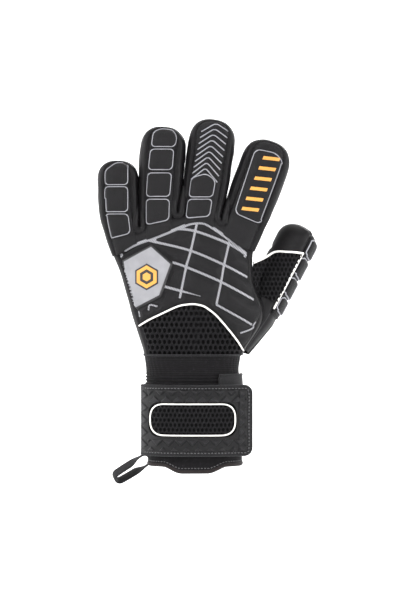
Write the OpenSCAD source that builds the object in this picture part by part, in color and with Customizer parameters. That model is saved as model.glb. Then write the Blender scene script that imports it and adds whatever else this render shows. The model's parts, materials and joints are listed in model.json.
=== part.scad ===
// Goalkeeper glove for a left hand, built as sewn panels over a hollow form.
// +Z runs from the wrist to the fingertips, -Y is the back of the hand, +Y the palm, +X the thumb side.
// The origin is the centre of the cuff's mouth. Millimetres.

/* [Fingers: little, ring, middle, index] */
// Where each finger's middle line crosses its web
web_x = [-57.5, -26.5, 6.5, 43.5]; // [-70:0.5:60]
// Height of the web at the foot of each finger
web_z = [195, 203, 206, 201]; // [190:1:210]
// Height of each knuckle fold
knuckle_z = [206, 214, 217, 212]; // [204:1:220]
// Height of each finger's middle fold
middle_z = [229, 242, 248, 237]; // [226:1:250]
// Height of each fingertip
tip_z = [249, 276, 282, 265]; // [245:1:290]
// Lean of each finger towards the thumb, in degrees
lean = [-2, 4, 9, 17]; // [-5:1:20]
// Half width of each finger at its web
foot_half = [14.3, 14.2, 15.9, 17.8]; // [12:0.1:18]
// Half width of each finger at its tip
tip_half = [15.5, 16.9, 18, 18.8]; // [14:0.1:20]
// Half depth of a finger, palm to back
finger_deep = 14.5; // [13:0.5:16]

/* [Thumb] */
// Where the thumb's middle line leaves the hand
thumb_foot = [49, 12, 124]; // [0:1:140]
// Turns that point the thumb: towards the palm, outwards, and round its own axis
thumb_turn = [-14, 28, 65]; // [-20:1:70]
// Length from the foot to the tip
thumb_long = 86; // [82:1:90]
// Distances from the foot to the two folds
thumb_folds = [14, 58]; // [12:1:60]
// Half widths at the foot and the tip
thumb_half = [13, 15]; // [12:0.5:16]
// Half depth of the thumb, palm to back
thumb_deep = 15.5; // [14:0.5:16]
// How far the thumb folds at its two folds
thumb_fold = [30, 60]; // [0:1:70]

/* [Wrist] */
// Half width of the cuff under the strap
cuff_half = 37.5; // [36:0.5:39]
// Half depth of the cuff
cuff_deep = 24; // [22:0.5:26]
// Height of the elastic band's lower and upper edges
elastic_z = [70, 94]; // [68:1:96]
// Height of the strap's lower and upper edges
strap_z = [13, 70]; // [12:1:70]
// How far the strap's free end reaches to the thumb side
strap_end = 48.5; // [46:0.5:50]

/* [Layers] */
// Thickness of the latex and of the foam backs
foam = 4; // [3.5:0.1:4.5]
// Thickness of the lining
lining = 1; // [0.8:0.1:1.2]
// Gap between two sewn layers
seam = 0.3; // [0.2:0.05:0.4]

/* [Folds] */
// Half gap left at a fold
fold_gap = 0.4; // [0.3:0.1:0.6]
// Fold that the gap at each knuckle has room for (the joint stops at 60)
knuckle_fold = 75; // [60:1:75]
// Fold that the gap at each middle fold has room for (the joint stops at 65)
middle_fold = 75; // [60:1:80]
// How far a fold opens backwards
back_fold = 10; // [5:1:10]

/* [Hidden] */
LITTLE = 0;
RING = 1;
MIDDLE = 2;
INDEX = 3;
FINGERS = ["little", "ring", "middle", "index"];
PANELS = ["latex", "back", "lining"];

squareness = 0.8;     // 1 is an ellipse, and less is squarer
dome = 17;            // height of a fingertip's round end
fold_deep = 2;        // the fold's axis lies this far towards the palm
back_from = 230;      // the foam back of a finger lies between these angles
back_to = 310;
round_stop = 84;      // the tips stop short of the pole, where the panels are sewn together
web_x_edge = [-42.3, -10.7, 25];  // between one finger and the next
hand_foot = 94.6;

// Outlines of the hand: its left and right edges and its half depth by height
hand_left = [[94, -38.5], [117, -43.5], [136, -50], [155, -54.5], [174, -62.5], [194, -70.5], [218, -73.5]];
hand_right = [[94, 38], [102, 43], [110, 47], [118, 45], [136, 42], [165, 45], [184, 51], [198, 60], [220, 64]];
hand_deep = [[94, 24], [130, 22.5], [170, 19], [200, 15.5], [220, 15]];
// Upper edge of the wrist mesh and of the printed back panel, by x
mesh_arc = [[-45, 115], [-25, 127], [-11, 132.5], [0, 134.5], [10, 133], [17, 128], [33, 110], [42, 98]];
knuckle_arc = [[-64, 170], [-52, 178], [-28, 189], [-10, 195], [4, 199], [14, 196], [31, 184], [48, 170]];

function mix(from, to, t) = from + (to - from) * t;
function clamp(t) = min(1, max(0, t));
function squared(v) = sign(v) * pow(abs(v), squareness);
// A point of a rounded section, at an angle from +X round through the palm
function oval(a, half, deep) = [half * squared(cos(a)), deep * squared(sin(a))];

// One closed solid between two offsets of a surface. at(u, v, inset) gives its points, for u and v from 0 to 1.
module sheet(at, nu, nv, outer, inner, ring = false) {
    row = ring ? nu : nu + 1;
    layer = row * (nv + 1);
    points = [for (inset = [outer, inner], j = [0:nv], i = [0:row - 1]) at(i / nu, j / nv, inset)];
    function id(k, j, i) = k * layer + j * row + i % row;
    polyhedron(points, concat(
        [for (j = [0:nv - 1], i = [0:nu - 1]) each [
            [id(0, j, i), id(0, j + 1, i + 1), id(0, j, i + 1)],
            [id(0, j, i), id(0, j + 1, i), id(0, j + 1, i + 1)],
            [id(1, j, i), id(1, j, i + 1), id(1, j + 1, i + 1)],
            [id(1, j, i), id(1, j + 1, i + 1), id(1, j + 1, i)]]],
        [for (i = [0:nu - 1]) each [
            [id(0, 0, i), id(0, 0, i + 1), id(1, 0, i + 1)],
            [id(0, 0, i), id(1, 0, i + 1), id(1, 0, i)],
            [id(0, nv, i), id(1, nv, i + 1), id(0, nv, i + 1)],
            [id(0, nv, i), id(1, nv, i), id(1, nv, i + 1)]]],
        ring ? [] : [for (j = [0:nv - 1]) each [
            [id(0, j, 0), id(1, j + 1, 0), id(0, j + 1, 0)],
            [id(0, j, 0), id(1, j, 0), id(1, j + 1, 0)],
            [id(0, j, nu), id(0, j + 1, nu), id(1, j + 1, nu)],
            [id(0, j, nu), id(1, j + 1, nu), id(1, j, nu)]]]));
}

// One closed solid through rings of points, with flat ends
module loft(rings) {
    last = len(rings) - 1;
    sides = len(rings[0]);
    function id(i, k) = i * sides + k % sides;
    polyhedron([for (r = rings) each r], concat(
        [[for (k = [0:sides - 1]) id(0, k)], [for (k = [0:sides - 1]) id(last, sides - 1 - k)]],
        [for (i = [0:last - 1], k = [0:sides - 1]) each [
            [id(i, k), id(i + 1, k + 1), id(i, k + 1)], [id(i, k), id(i + 1, k), id(i + 1, k + 1)]]]));
}

// A round cord through points
module piping(route, radius, sides = 6) {
    last = len(route) - 1;
    function along(i) = route[min(last, i + 1)] - route[max(0, i - 1)];
    function across(i) = let (c = cross(along(i), [0, 1, 0])) c / norm(c);
    function up(i) = let (c = cross(along(i), across(i))) c / norm(c);
    loft([for (i = [0:last]) [for (k = [0:sides - 1])
        route[i] + radius * (cos(k * 360 / sides) * across(i) + sin(k * 360 / sides) * up(i))]]);
}

// ---------- fingers and thumb ----------
// A stall is [x of its foot, z of its foot, lean, half width at foot, half width at tip, tip z, half depth,
//            lower fold z, middle fold z, how far each of the two folds bends]
function finger(f) = [web_x[f], web_z[f], lean[f], foot_half[f], tip_half[f], tip_z[f], finger_deep,
                      knuckle_z[f], middle_z[f], knuckle_fold, middle_fold];
function thumb() = [0, 0, 0, thumb_half[0], thumb_half[1], thumb_long, thumb_deep,
                    thumb_folds[0], thumb_folds[1], thumb_fold[0], thumb_fold[1]];
function shoulder(s) = s[5] - dome;

// The room a fold needs at depth y, on each side of its plane
function fold_room(y, fold) = fold_gap + max(0, y - fold_deep) * tan(fold / 2)
    + max(0, fold_deep - y) * tan(back_fold / 2);

// A place along a stall: its height up to the shoulder, and from there on an even measure of the round end
dome_run = 22;
function place_for(s, z) = z <= shoulder(s) ? z : shoulder(s) + dome_run * asin(min(1, (z - shoulder(s)) / dome)) / 90;

// A point of a stall at angle a and height z, or on its round end where round is over 0
function stall(s, a, z, round, inset) =
    let (grown = clamp((z - s[1]) / (shoulder(s) - s[1])),
         turned = s[2] * clamp((z - s[8] - 4) / max(4, shoulder(s) - s[8] - 4)),
         half = mix(s[3], s[4], grown) / cos(s[2] - turned) - inset,
         rise = (dome - inset) * sin(round),
         p = cos(round) * oval(a, half, s[6] - inset))
    [s[0] + (z - s[1]) * tan(s[2]) + rise * sin(s[2]) + p.x * cos(turned), p.y,
     z + rise * cos(s[2]) - p.x * sin(turned)];

function depth_at(s, a, inset) = oval(a, 1, s[6] - inset).y;

// Surface of the part of a stall between its two folds
function lower_part(s, from, to) = function (u, v, inset)
    let (a = mix(from, to, u), y = depth_at(s, a, inset))
    stall(s, a, mix(s[7] + fold_room(y, s[9]), s[8] - fold_room(y, s[10]), v), 0, inset);

// Surface of a stall from its middle fold to its tip
function upper_part(s, from, to) = function (u, v, inset)
    let (a = mix(from, to, u), y = depth_at(s, a, inset), last = shoulder(s) + dome_run * round_stop / 90,
         at = mix(place_for(s, s[8] + fold_room(y, s[10])), last, v))
    stall(s, a, min(at, shoulder(s)), max(0, at - shoulder(s)) / dome_run * 90, inset);

module lower_latex(s, from = back_to, to = back_from + 360)
    color("#1b1a1c") sheet(lower_part(s, from + 1, to - 1), 12, 2, 0, foam);
module lower_back(s) color("#232226") sheet(lower_part(s, back_from, back_to), 6, 2, 0, foam);
module lower_lining(s) color("#3a3a3e")
    sheet(lower_part(s, 0, 360), 14, 1, foam + seam, foam + seam + lining, ring = true);
module upper_latex(s, from = back_to, to = back_from + 360)
    color("#1b1a1c") sheet(upper_part(s, from + 1, to - 1), 12, 5, 0, foam);
module upper_back(s) color("#232226") sheet(upper_part(s, back_from, back_to), 6, 5, 0, foam);
module upper_lining(s) color("#3a3a3e")
    sheet(upper_part(s, 0, 360), 14, 5, foam + seam, foam + seam + lining, ring = true);

module finger_panel(f, part, panel) {
    s = finger(f);
    if (part == "lower" && panel == "latex") lower_latex(s);
    if (part == "lower" && panel == "back") lower_back(s);
    if (part == "lower" && panel == "lining") lower_lining(s);
    if (part == "upper" && panel == "latex") upper_latex(s);
    if (part == "upper" && panel == "back") upper_back(s);
    if (part == "upper" && panel == "lining") upper_lining(s);
}

mesh_from = 140;   // the thumb's mesh lies between this angle and its foam back
module in_thumb_frame() translate(thumb_foot)
    rotate([0, thumb_turn[1], 0]) rotate([thumb_turn[0], 0, 0]) rotate([0, 0, thumb_turn[2]]) children();
module thumb_mesh() in_thumb_frame()
    color("#0f0f11") sheet(lower_part(thumb(), mesh_from + 1, back_from - 1), 5, 2, 0, 3);
module thumb_lower_latex() in_thumb_frame() lower_latex(thumb(), to = mesh_from + 361);
module thumb_piping() in_thumb_frame() color("#e9e4da")
    piping([for (k = [0:6]) stall(thumb(), back_from - 2, mix(thumb_folds[0] + 4, thumb_folds[1] - 4, k / 6), 0,
                                  -0.9)], 0.8);

// The thumb's seat on the hand: a sleeve that narrows into the heel of the hand
sleeve_from = -30;
function sleeve_point(a, z, inset) =
    let (p = stall(thumb(), a, max(0, z), 0, inset), narrow = 1 + 0.015 * min(0, z)) [p.x * narrow, p.y * narrow, z];
module thumb_passage(inset) in_thumb_frame() loft([for (z = [sleeve_from, 0, thumb_folds[0]])
    [for (k = [0:15]) sleeve_point(k * 22.5, z, inset)]]);
module thumb_collar() color("#1b1a1c") difference() {
    in_thumb_frame() sheet(function (u, v, inset)
        let (a = 360 * u, y = depth_at(thumb(), a, inset))
        sleeve_point(a, mix(sleeve_from, thumb_folds[0] - fold_room(y, thumb_fold[0]), v), inset),
        16, 4, 0, foam, ring = true);
    hand_form(-seam);
}

// ---------- hand ----------
function hand_point(a, z, inset) =
    let (left = lookup(z, hand_left), right = lookup(z, hand_right),
         p = oval(a, (right - left) / 2 - inset, lookup(z, hand_deep) - inset))
    [(left + right) / 2 + p.x, p.y, z];
function finger_of(x) = x < web_x_edge[0] ? LITTLE : x < web_x_edge[1] ? RING : x < web_x_edge[2] ? MIDDLE : INDEX;
// The hand's upper edge, just under the knuckle folds
function top_edge(p) = knuckle_z[finger_of(p.x)] - fold_room(p.y, knuckle_fold);
// The height at which a line up the hand at angle a meets an edge
function meet_arc(a, edge, inset, z = 150, tries = 5) =
    tries == 0 ? z : meet_arc(a, edge, inset, lookup(hand_point(a, z, inset).x, edge), tries - 1);
function meet_top(a, inset) = top_edge(hand_point(a, 205, inset));

module hand_sheet(from, to, nu, nv, low, high, outer, inner, ring = false)
    sheet(function (u, v, inset)
        let (a = mix(from, to, u)) hand_point(a, mix(low(a, inset), high(a, inset), v), inset),
        nu, nv, outer, inner, ring);

back_left = 203;
back_right = 332;
palm_right = 34;
palm_left = 157;
at_foot = function (a, inset) hand_foot;
at_top = function (a, inset) meet_top(a, inset);
at_mesh = function (a, inset) meet_arc(a, mesh_arc, 0);
at_knuckles = function (a, inset) meet_arc(a, knuckle_arc, 0);

module palm_latex() color("#1b1a1c")
    hand_sheet(palm_right, palm_left, 20, 6, at_foot, at_top, 0, foam);
module little_side_gusset() color("#1b1a1c")
    hand_sheet(palm_left + 1, back_left - 1, 4, 6, at_foot, at_top, 0.5, foam);
module hand_form(inset) loft([for (z = [hand_foot - 1, 102, 110, 118, 136, 155, 174, 190])
    [for (k = [0:35]) hand_point(k * 10, z, inset)]]);
module thumb_side_gusset() color("#1b1a1c") difference() {
    hand_sheet(-25, palm_right - 2, 5, 6, at_foot, at_top, 0.5, foam);
    thumb_passage(foam);
}
module wrist_mesh() color("#0f0f11")
    hand_sheet(back_left, back_right, 16, 4, at_foot, function (a, inset) at_mesh(a, inset) - 0.3, 1, foam);
module backhand_panel() color("#232226")
    hand_sheet(back_left, back_right, 20, 6, function (a, inset) at_mesh(a, inset) + 0.3,
               function (a, inset) at_knuckles(a, inset) - 0.5, 0, foam);
module knuckle_band() color("#1f1e21")
    hand_sheet(back_left, back_right, 20, 2, function (a, inset) at_knuckles(a, inset) + 0.5, at_top, 0, foam);
hand_lining_in = 1.7;   // the hand's lining lies this far inside its panels
lining_short = 21;      // and ends this far under the knuckles, below the web gussets
module hand_lining() color("#3a3a3e")
    hand_sheet(palm_right, 326, 26, 4, at_foot, function (a, inset) at_top(a, inset) - lining_short,
               foam + hand_lining_in, foam + hand_lining_in + lining);
module mesh_piping() color("#f1ede4")
    piping([for (k = [0:14]) let (a = mix(back_left + 2, back_right - 2, k / 14))
        hand_point(a, at_mesh(a, 0), -0.9)], 0.8);
// Three short saddles that close the webs between the fingers
gusset_wide = 18.4;
module web_gussets() color("#1b1a1c")
    for (k = [0:2])
        translate([web_x_edge[k], 0, min(knuckle_z[k], knuckle_z[k + 1]) - 12])
            linear_extrude(8) square([2, gusset_wide], center = true);

// The badge is a six-sided plate moulded to the outer side of the back, with an inlaid hexagon
badge_at = [-40, 157];
badge_outline = [[4.5, 25], [21.5, 9.5], [12.5, -17], [-7.5, -27], [-13, -18], [-19.5, 13]];
emblem_outline = [for (k = [0:5]) [0.7 + 10 * sin(60 * k), -1 + 10 * cos(60 * k)]];
module on_back(outline, outer, inner) intersection() {
    sheet(function (u, v, inset) hand_point(mix(206, 262, u), mix(126, 186, v), inset), 8, 4, outer, inner);
    translate([badge_at[0], 0, badge_at[1]]) rotate([90, 0, 0]) linear_extrude(60) polygon(outline);
}
module badge() color("#8f8f94") difference() {
    on_back(badge_outline, -2.4, -0.7);
    translate([badge_at[0], 0, badge_at[1]]) rotate([90, 0, 0]) linear_extrude(60) polygon(emblem_outline);
}
module badge_emblem() color("#f3a633") on_back([for (p = emblem_outline) 0.97 * p], -2.8, -0.7);

// ---------- wrist, strap and loop ----------
cuff_flare = [[0, 2], [12, 1], [24, 0], [75, 0], [94, 0.5]];
function cuff_point(a, z, inset) =
    let (p = oval(a, cuff_half + lookup(z, cuff_flare) - inset, cuff_deep - inset)) [p.x, p.y, z];
function tube(low, high, from = 0, to = 360) = function (u, v, inset)
    let (a = mix(from, to, u)) cuff_point(a, mix(low(a), high(a), v), inset);
function level(z) = function (a) z;
cuff_drop = function (a) 5 - 5 * pow(abs(sin(a)), 3);
knit = 2.4;
hem = 2;

module wrist_elastic() color("#17161a")
    sheet(tube(level(elastic_z[0] + 0.2), level(elastic_z[1])), 28, 2, 0, knit, ring = true);
module cuff() color("#141316")
    sheet(tube(function (a) cuff_drop(a) + hem, level(elastic_z[0])), 28, 3, 0, knit, ring = true);
module cuff_hem() color("#241a1a")
    sheet(tube(cuff_drop, function (a) cuff_drop(a) + hem - 0.1), 28, 1, -0.3, knit + 0.3, ring = true);

// The strap is sewn round the palm side; its free end laps over the back and ends past the thumb side
base_layer = [-0.4, -2.4];
loop_layer = [-2.9, -3.5];
hook_layer = [-3.9, -4.5];
flap_layer = [-4.6, -7.6];
strap_fold = 192;
lap_from = 198;
lap_to = 292;
module strap_base() color("#1a191d")
    sheet(tube(level(strap_z[0] + 3), level(strap_z[1] + 6), -66, 190), 26, 1, base_layer[1], base_layer[0]);
module loop_patch() color("#0c0c0e")
    sheet(tube(level(strap_z[0] + 8), level(strap_z[1] - 6), -64, -34), 5, 1, loop_layer[1], loop_layer[0]);

// Up to lap_to the lap follows the cuff, and past it the lap runs straight to its free end
function lap_point(u, z, inset) =
    let (turn_at = 0.62, near = cuff_point(mix(lap_from, lap_to, min(1, u / turn_at)), 40, inset),
         before = cuff_point(lap_to - 4, 40, inset), d = [near.x - before.x, near.y - before.y],
         far = (strap_end - near.x) * max(0, (u - turn_at) / (1 - turn_at)),
         sag = 0.35)
    [near.x + far, near.y + far * mix(d.y / d.x, sag, 0.5), z];
corner = 7;
function lap_edge(u, low) = let (x = lap_point(u, 0, flap_layer[0]).x, into = max(0, x - (strap_end - corner)),
         cut = corner - sqrt(max(0, corner * corner - into * into)))
    low ? strap_z[0] + cut : strap_z[1] - cut;
function lap(from, to, low, high) = function (u, v, inset)
    let (w = mix(from, to, u)) lap_point(w, mix(low(w), high(w), v), inset);
window_x = [0.16, 0.74];
window_z = [28, 56];
window_corner = 8;
module window_prism(grow) translate([0, -20, 0]) rotate([90, 0, 0]) linear_extrude(30)
    translate([-4, (window_z[0] + window_z[1]) / 2]) offset(window_corner)
        square([68 + grow - 2 * window_corner, 28 + grow - 2 * window_corner], center = true);
module strap_flap() color("#1e1d21") difference() {
    sheet(lap(0, 0.985, function (u) lap_edge(u, true) + 1.2, function (u) lap_edge(u, false) - 1.2),
          20, 1, flap_layer[1], flap_layer[0]);
    window_prism(0);
}
module strap_window_mesh() color("#0f0f11") intersection() {
    sheet(lap(0, 0.985, function (u) strap_z[0] + 4, function (u) strap_z[1] - 4),
          20, 1, flap_layer[1] + 0.6, flap_layer[0]);
    window_prism(-0.3);
}
module strap_window_piping() color("#f1ede4") intersection() {
    sheet(lap(0, 0.985, function (u) strap_z[0] + 4, function (u) strap_z[1] - 4),
          20, 1, flap_layer[1] - 1.3, flap_layer[1] - 0.05);
    difference() {
        window_prism(1.2);
        window_prism(-1.2);
    }
}
module strap_binding() color("#26252a") {
    for (low = [true, false])
        sheet(function (u, v, inset) lap_point(mix(0, 0.985, u),
                  lap_edge(mix(0, 0.985, u), low) + (low ? mix(-0.6, 1.1, v) : mix(-1.1, 0.6, v)), inset),
              20, 1, flap_layer[1] - 0.3, flap_layer[0] + 0.05);
    sheet(function (u, v, inset) lap_point(mix(0.987, 1, u),
              mix(strap_z[0] + corner, strap_z[1] - corner, v), inset),
          1, 1, flap_layer[1] - 0.3, flap_layer[0] + 0.05);
}
module hook_patch() color("#0c0c0e")
    sheet(lap(0.66, 0.9, level(strap_z[0] + 9), level(strap_z[1] - 8)), 4, 1, hook_layer[1], hook_layer[0]);

// A webbing loop at the cuff's lower outer corner, that swings about its sewn end
loop_at = [-45.6, -2, 6];
loop_slope = 32;
loop_long = 19;
loop_wide = 9;
webbing = 1.6;
loop_gap = 7;
module pull_loop() color("#17161a") translate(loop_at) rotate([90, -loop_slope, 0])
    linear_extrude(loop_wide, center = true) difference() {
        loop_outline(loop_gap / 2 + webbing);
        loop_outline(loop_gap / 2);
    }
module loop_outline(r) {
    circle(r, $fn = 32);
    translate([-loop_long, -r]) square([loop_long, 2 * r]);
    translate([-loop_long, 0]) circle(r, $fn = 32);
}

palm_latex();
little_side_gusset();
thumb_side_gusset();
thumb_collar();
web_gussets();
backhand_panel();
knuckle_band();
wrist_mesh();
mesh_piping();
badge();
badge_emblem();
hand_lining();
wrist_elastic();
cuff();
cuff_hem();
strap_base();
loop_patch();
strap_flap();
strap_window_mesh();
strap_window_piping();
hook_patch();
strap_binding();
pull_loop();
for (f = [LITTLE:INDEX], part = ["lower", "upper"], panel = PANELS)
    finger_panel(f, part, panel);
thumb_lower_latex();
in_thumb_frame() lower_back(thumb());  // thumb_lower_back
thumb_mesh();
in_thumb_frame() lower_lining(thumb());  // thumb_lower_lining
in_thumb_frame() upper_latex(thumb());  // thumb_cap
in_thumb_frame() upper_back(thumb());  // thumb_upper_back
in_thumb_frame() upper_lining(thumb());  // thumb_upper_lining
thumb_piping();
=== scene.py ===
import json
from math import ceil, cos, exp, floor, hypot, pi, radians, sin, sqrt, tan

import bmesh
import bpy
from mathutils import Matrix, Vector, noise
from mathutils.bvhtree import BVHTree


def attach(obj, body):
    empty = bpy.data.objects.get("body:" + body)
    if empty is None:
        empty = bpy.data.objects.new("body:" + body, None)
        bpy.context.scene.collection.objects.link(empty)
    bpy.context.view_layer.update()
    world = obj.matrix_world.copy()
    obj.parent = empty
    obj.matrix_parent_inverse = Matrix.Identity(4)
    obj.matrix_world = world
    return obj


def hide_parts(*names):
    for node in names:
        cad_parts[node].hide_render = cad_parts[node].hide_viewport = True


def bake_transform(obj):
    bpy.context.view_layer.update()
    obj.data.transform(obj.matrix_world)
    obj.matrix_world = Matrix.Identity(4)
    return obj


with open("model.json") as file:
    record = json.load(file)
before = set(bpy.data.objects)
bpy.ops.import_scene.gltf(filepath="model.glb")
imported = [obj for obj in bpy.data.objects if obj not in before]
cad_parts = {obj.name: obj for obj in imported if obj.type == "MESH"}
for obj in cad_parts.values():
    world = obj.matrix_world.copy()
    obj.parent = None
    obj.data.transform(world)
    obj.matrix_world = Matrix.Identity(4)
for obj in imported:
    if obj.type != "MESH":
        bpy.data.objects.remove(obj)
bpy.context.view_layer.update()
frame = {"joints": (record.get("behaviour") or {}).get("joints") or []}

mm = 0.001


# small maths, all in millimetres
def mix(a, b, t):
    return a + (b - a) * t


def ease(t):
    t = min(1, max(0, t))
    return t * t * (3 - 2 * t)


def lookUp(x, table):  # straight lines between the rows of a table
    if x <= table[0][0]:
        return table[0][1]
    for (x0, y0), (x1, y1) in zip(table, table[1:]):
        if x <= x1:
            return mix(y0, y1, (x - x0) / (x1 - x0))
    return table[-1][1]


def softLookUp(x, table, reach=5):
    return sum(lookUp(x + reach * k / 2, table) for k in range(-2, 3)) / 5


def signedPower(v, power):
    return abs(v) ** power * (1 if v > 0 else -1)


def domed(t, power=2.35):  # 1 up to t = 0, closing to 0 at t = 1
    return max(0, 1 - min(1, max(0, t)) ** power) ** (1 / power)


def unit(v, instead):
    return v.normalized() if v.length > 1e-9 else Vector(instead)


def oval(a, half, deep):  # a squarish oval, angle from +x round through the palm
    return half * signedPower(cos(a), 0.8), deep * signedPower(sin(a), 0.8)


def curveAt(p, t):  # a smooth curve between the middle two of four points
    return 0.5 * ((2 * p[1]) + (p[2] - p[0]) * t + (2 * p[0] - 5 * p[1] + 4 * p[2] - p[3]) * t * t
                  + (3 * p[1] - p[0] - 3 * p[2] + p[3]) * t ** 3)


def smoothRoute(points, step=1.0, closed=False):  # an even curve through the points
    points = [Vector(p) for p in points]
    n = len(points)
    fine = []
    for i in range(n if closed else n - 1):
        p = [points[(i + k) % n] if closed else points[min(n - 1, max(0, i + k))] for k in (-1, 0, 1, 2)]
        fine += [curveAt(p, j / 16) for j in range(16)]
    fine.append(points[0] if closed else points[-1])
    return evenly(fine, step)


def evenly(fine, step):
    lengths = [0]
    for a, b in zip(fine, fine[1:]):
        lengths.append(lengths[-1] + (b - a).length)
    count = max(2, ceil(lengths[-1] / step))
    out, i = [], 0
    for k in range(count + 1):
        want = lengths[-1] * k / count
        while i < len(fine) - 2 and lengths[i + 1] < want:
            i += 1
        span = lengths[i + 1] - lengths[i]
        out.append(fine[i].lerp(fine[i + 1], (want - lengths[i]) / span if span else 0))
    return out


def roundedLoop(corners, radius, step=1.0):  # a closed outline with rounded corners
    corners = [Vector(c) for c in corners]
    fine = []
    for i, here in enumerate(corners):
        before, after = corners[i - 1], corners[(i + 1) % len(corners)]
        cut = min(radius, 0.45 * (before - here).length, 0.45 * (after - here).length)
        p, q = here + (before - here).normalized() * cut, here + (after - here).normalized() * cut
        fine += [p.lerp(here, k / 8).lerp(here.lerp(q, k / 8), k / 8) for k in range(9)]
    return evenly(fine + [fine[0]], step)


def segmentGap(p, a, b):
    t = max(0, min(1, (p - a).dot(b - a) / max(1e-9, (b - a).length_squared)))
    return (p - a - (b - a) * t).length


def routeGap(p, route):
    return min(segmentGap(p, a, b) for a, b in zip(route, route[1:]))


def insideGap(p, corners):  # how deep a point is inside an outline of corners, below 0 outside it
    inside = False
    for a, b in zip(corners, corners[1:] + corners[:1]):
        if (a.y > p.y) != (b.y > p.y) and p.x < (b.x - a.x) * (p.y - a.y) / (b.y - a.y) + a.x:
            inside = not inside
    gap = min(segmentGap(p, a, b) for a, b in zip(corners, corners[1:] + corners[:1]))
    return gap if inside else -gap


# pieces
def show(name, data):
    made = bpy.data.objects.new(name, data)
    bpy.context.scene.collection.objects.link(made)
    return made


def shownMesh(bm, name, materials):
    mesh = bpy.data.meshes.new(name)
    bm.to_mesh(mesh)
    bm.free()
    for m in materials:
        mesh.materials.append(m)
    return show(name, mesh)


def drop(piece):
    old = piece.data
    bpy.data.objects.remove(piece)
    bpy.data.meshes.remove(old)


def keep(bm, name, material):
    bmesh.ops.remove_doubles(bm, verts=bm.verts, dist=1e-6)
    bmesh.ops.recalc_face_normals(bm, faces=bm.faces)
    piece = shownMesh(bm, name, [material])
    for face in piece.data.polygons:
        face.use_smooth = True
    return piece


def cloth(nu, nv, place):  # a grid laid where place(u, w) says, in mm, with a painted light and shade mask where it gives one
    bm = bmesh.new()
    bmesh.ops.create_grid(bm, x_segments=nu, y_segments=nv, size=0.5)
    uvs = bm.loops.layers.uv.new("UVMap")
    pit = bm.verts.layers.float.new("pit")
    where = {v: (v.co.x + 0.5, v.co.y + 0.5) for v in bm.verts}
    for face in bm.faces:
        for loop in face.loops:
            loop[uvs].uv = where[loop.vert]
    for v, (u, w) in where.items():
        p = place(u, w)
        v.co = Vector(p[:3]) * mm
        if len(p) > 3:
            v[pit] = p[3]
    return bm


def sheet(name, nu, nv, place, material, out=None):
    piece = keep(cloth(nu, nv, place), name, material)
    if out is not None:
        turnOut(piece, Vector(out))
    return piece


def turnOut(piece, towards):  # an open sheet faces the way that most of it should
    mesh = piece.data
    if sum((f.normal * f.area).dot(towards) for f in mesh.polygons) < 0:
        mesh.flip_normals()


def tube(name, route, radius, material, sides=8, flat=1.0, closed=False, up=None):  # a cord along a route in mm
    count = len(route) - 1
    ups = up if isinstance(up, list) else [up or Vector((0, -1, 0))] * (count + 1)

    def place(u, w):
        i = round(w * count)
        ahead, behind = route[min(count, i + 1)], route[max(0, i - 1)]
        if closed and i in (0, count):
            ahead, behind = route[1], route[count - 1]
        along = (ahead - behind).normalized()
        side = along.cross(ups[i]).normalized()
        lift = side.cross(along).normalized()
        r = radius(w) if callable(radius) else radius
        return route[i] + side * (r * cos(2 * pi * u)) + lift * (r * flat * sin(2 * pi * u))

    bm = cloth(sides, count, place)
    if not closed:
        bmesh.ops.remove_doubles(bm, verts=bm.verts, dist=1e-6)
        bmesh.ops.holes_fill(bm, edges=[e for e in bm.edges if e.is_boundary], sides=0)
    return keep(bm, name, material)


def join(name, pieces):
    bm = bmesh.new()
    for p in pieces:
        bm.from_mesh(p.data)
    out = shownMesh(bm, name, pieces[0].data.materials)
    for p in pieces:
        drop(p)
    return out


def thicken(piece, thick):
    wall = piece.modifiers.new("wall", "SOLIDIFY")
    wall.thickness, wall.offset = thick * mm, -1


def carry(body, *rows):  # each row is a piece and then the CAD nodes that it stands for
    for piece, *nodes in rows:
        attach(piece, body)
        if nodes:
            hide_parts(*nodes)


def surfaceOf(pieces):  # what details are laid on
    points, faces = [], []
    for p in pieces:
        start = len(points)
        points += [v.co / mm for v in p.data.vertices]
        faces += [[start + i for i in f.vertices] for f in p.data.polygons]
    return BVHTree.FromPolygons(points, faces)


def layOn(surface, points, lift=0.0, towards=(0, 1, 0)):  # drop a flat outline on a surface, from outside
    towards = Vector(towards)
    route, ups = [], []
    for p in points:
        start = Vector((p[0], 0, p[1])) if len(p) == 2 else Vector(p)
        hit, normal, _, _ = surface.ray_cast(start - towards * 90, towards)
        if hit is None:
            hit, normal, _, _ = surface.find_nearest(start - towards * 14)
        if normal.dot(towards) > 0:
            normal = -normal
        route.append(hit + normal * lift)
        ups.append(normal)
    return route, ups


def bead(name, surface, points, radius, material, closed=False, flat=0.8, lift=0.0, sides=6):
    route, ups = layOn(surface, points, lift)
    return tube(name, route, radius, material, sides=sides, flat=flat, closed=closed, up=ups)


def ribbon(name, surface, points, width, thick, material, taper=None):  # a flat band printed along a route
    route, ups = layOn(surface, points, 0)
    count = len(route) - 1

    def place(u, w):
        i = round(w * count)
        along = (route[min(count, i + 1)] - route[max(0, i - 1)]).normalized()
        side = along.cross(ups[i]).normalized()
        half = width / 2 * (taper(w) if taper else 1)
        t = 2 * u - 1
        return route[i] + side * (half * t) + ups[i] * (thick * (1 - abs(t) ** 4) - 0.15)

    return sheet(name, 6, count, place, material, out=(0, -1, 0))


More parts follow.
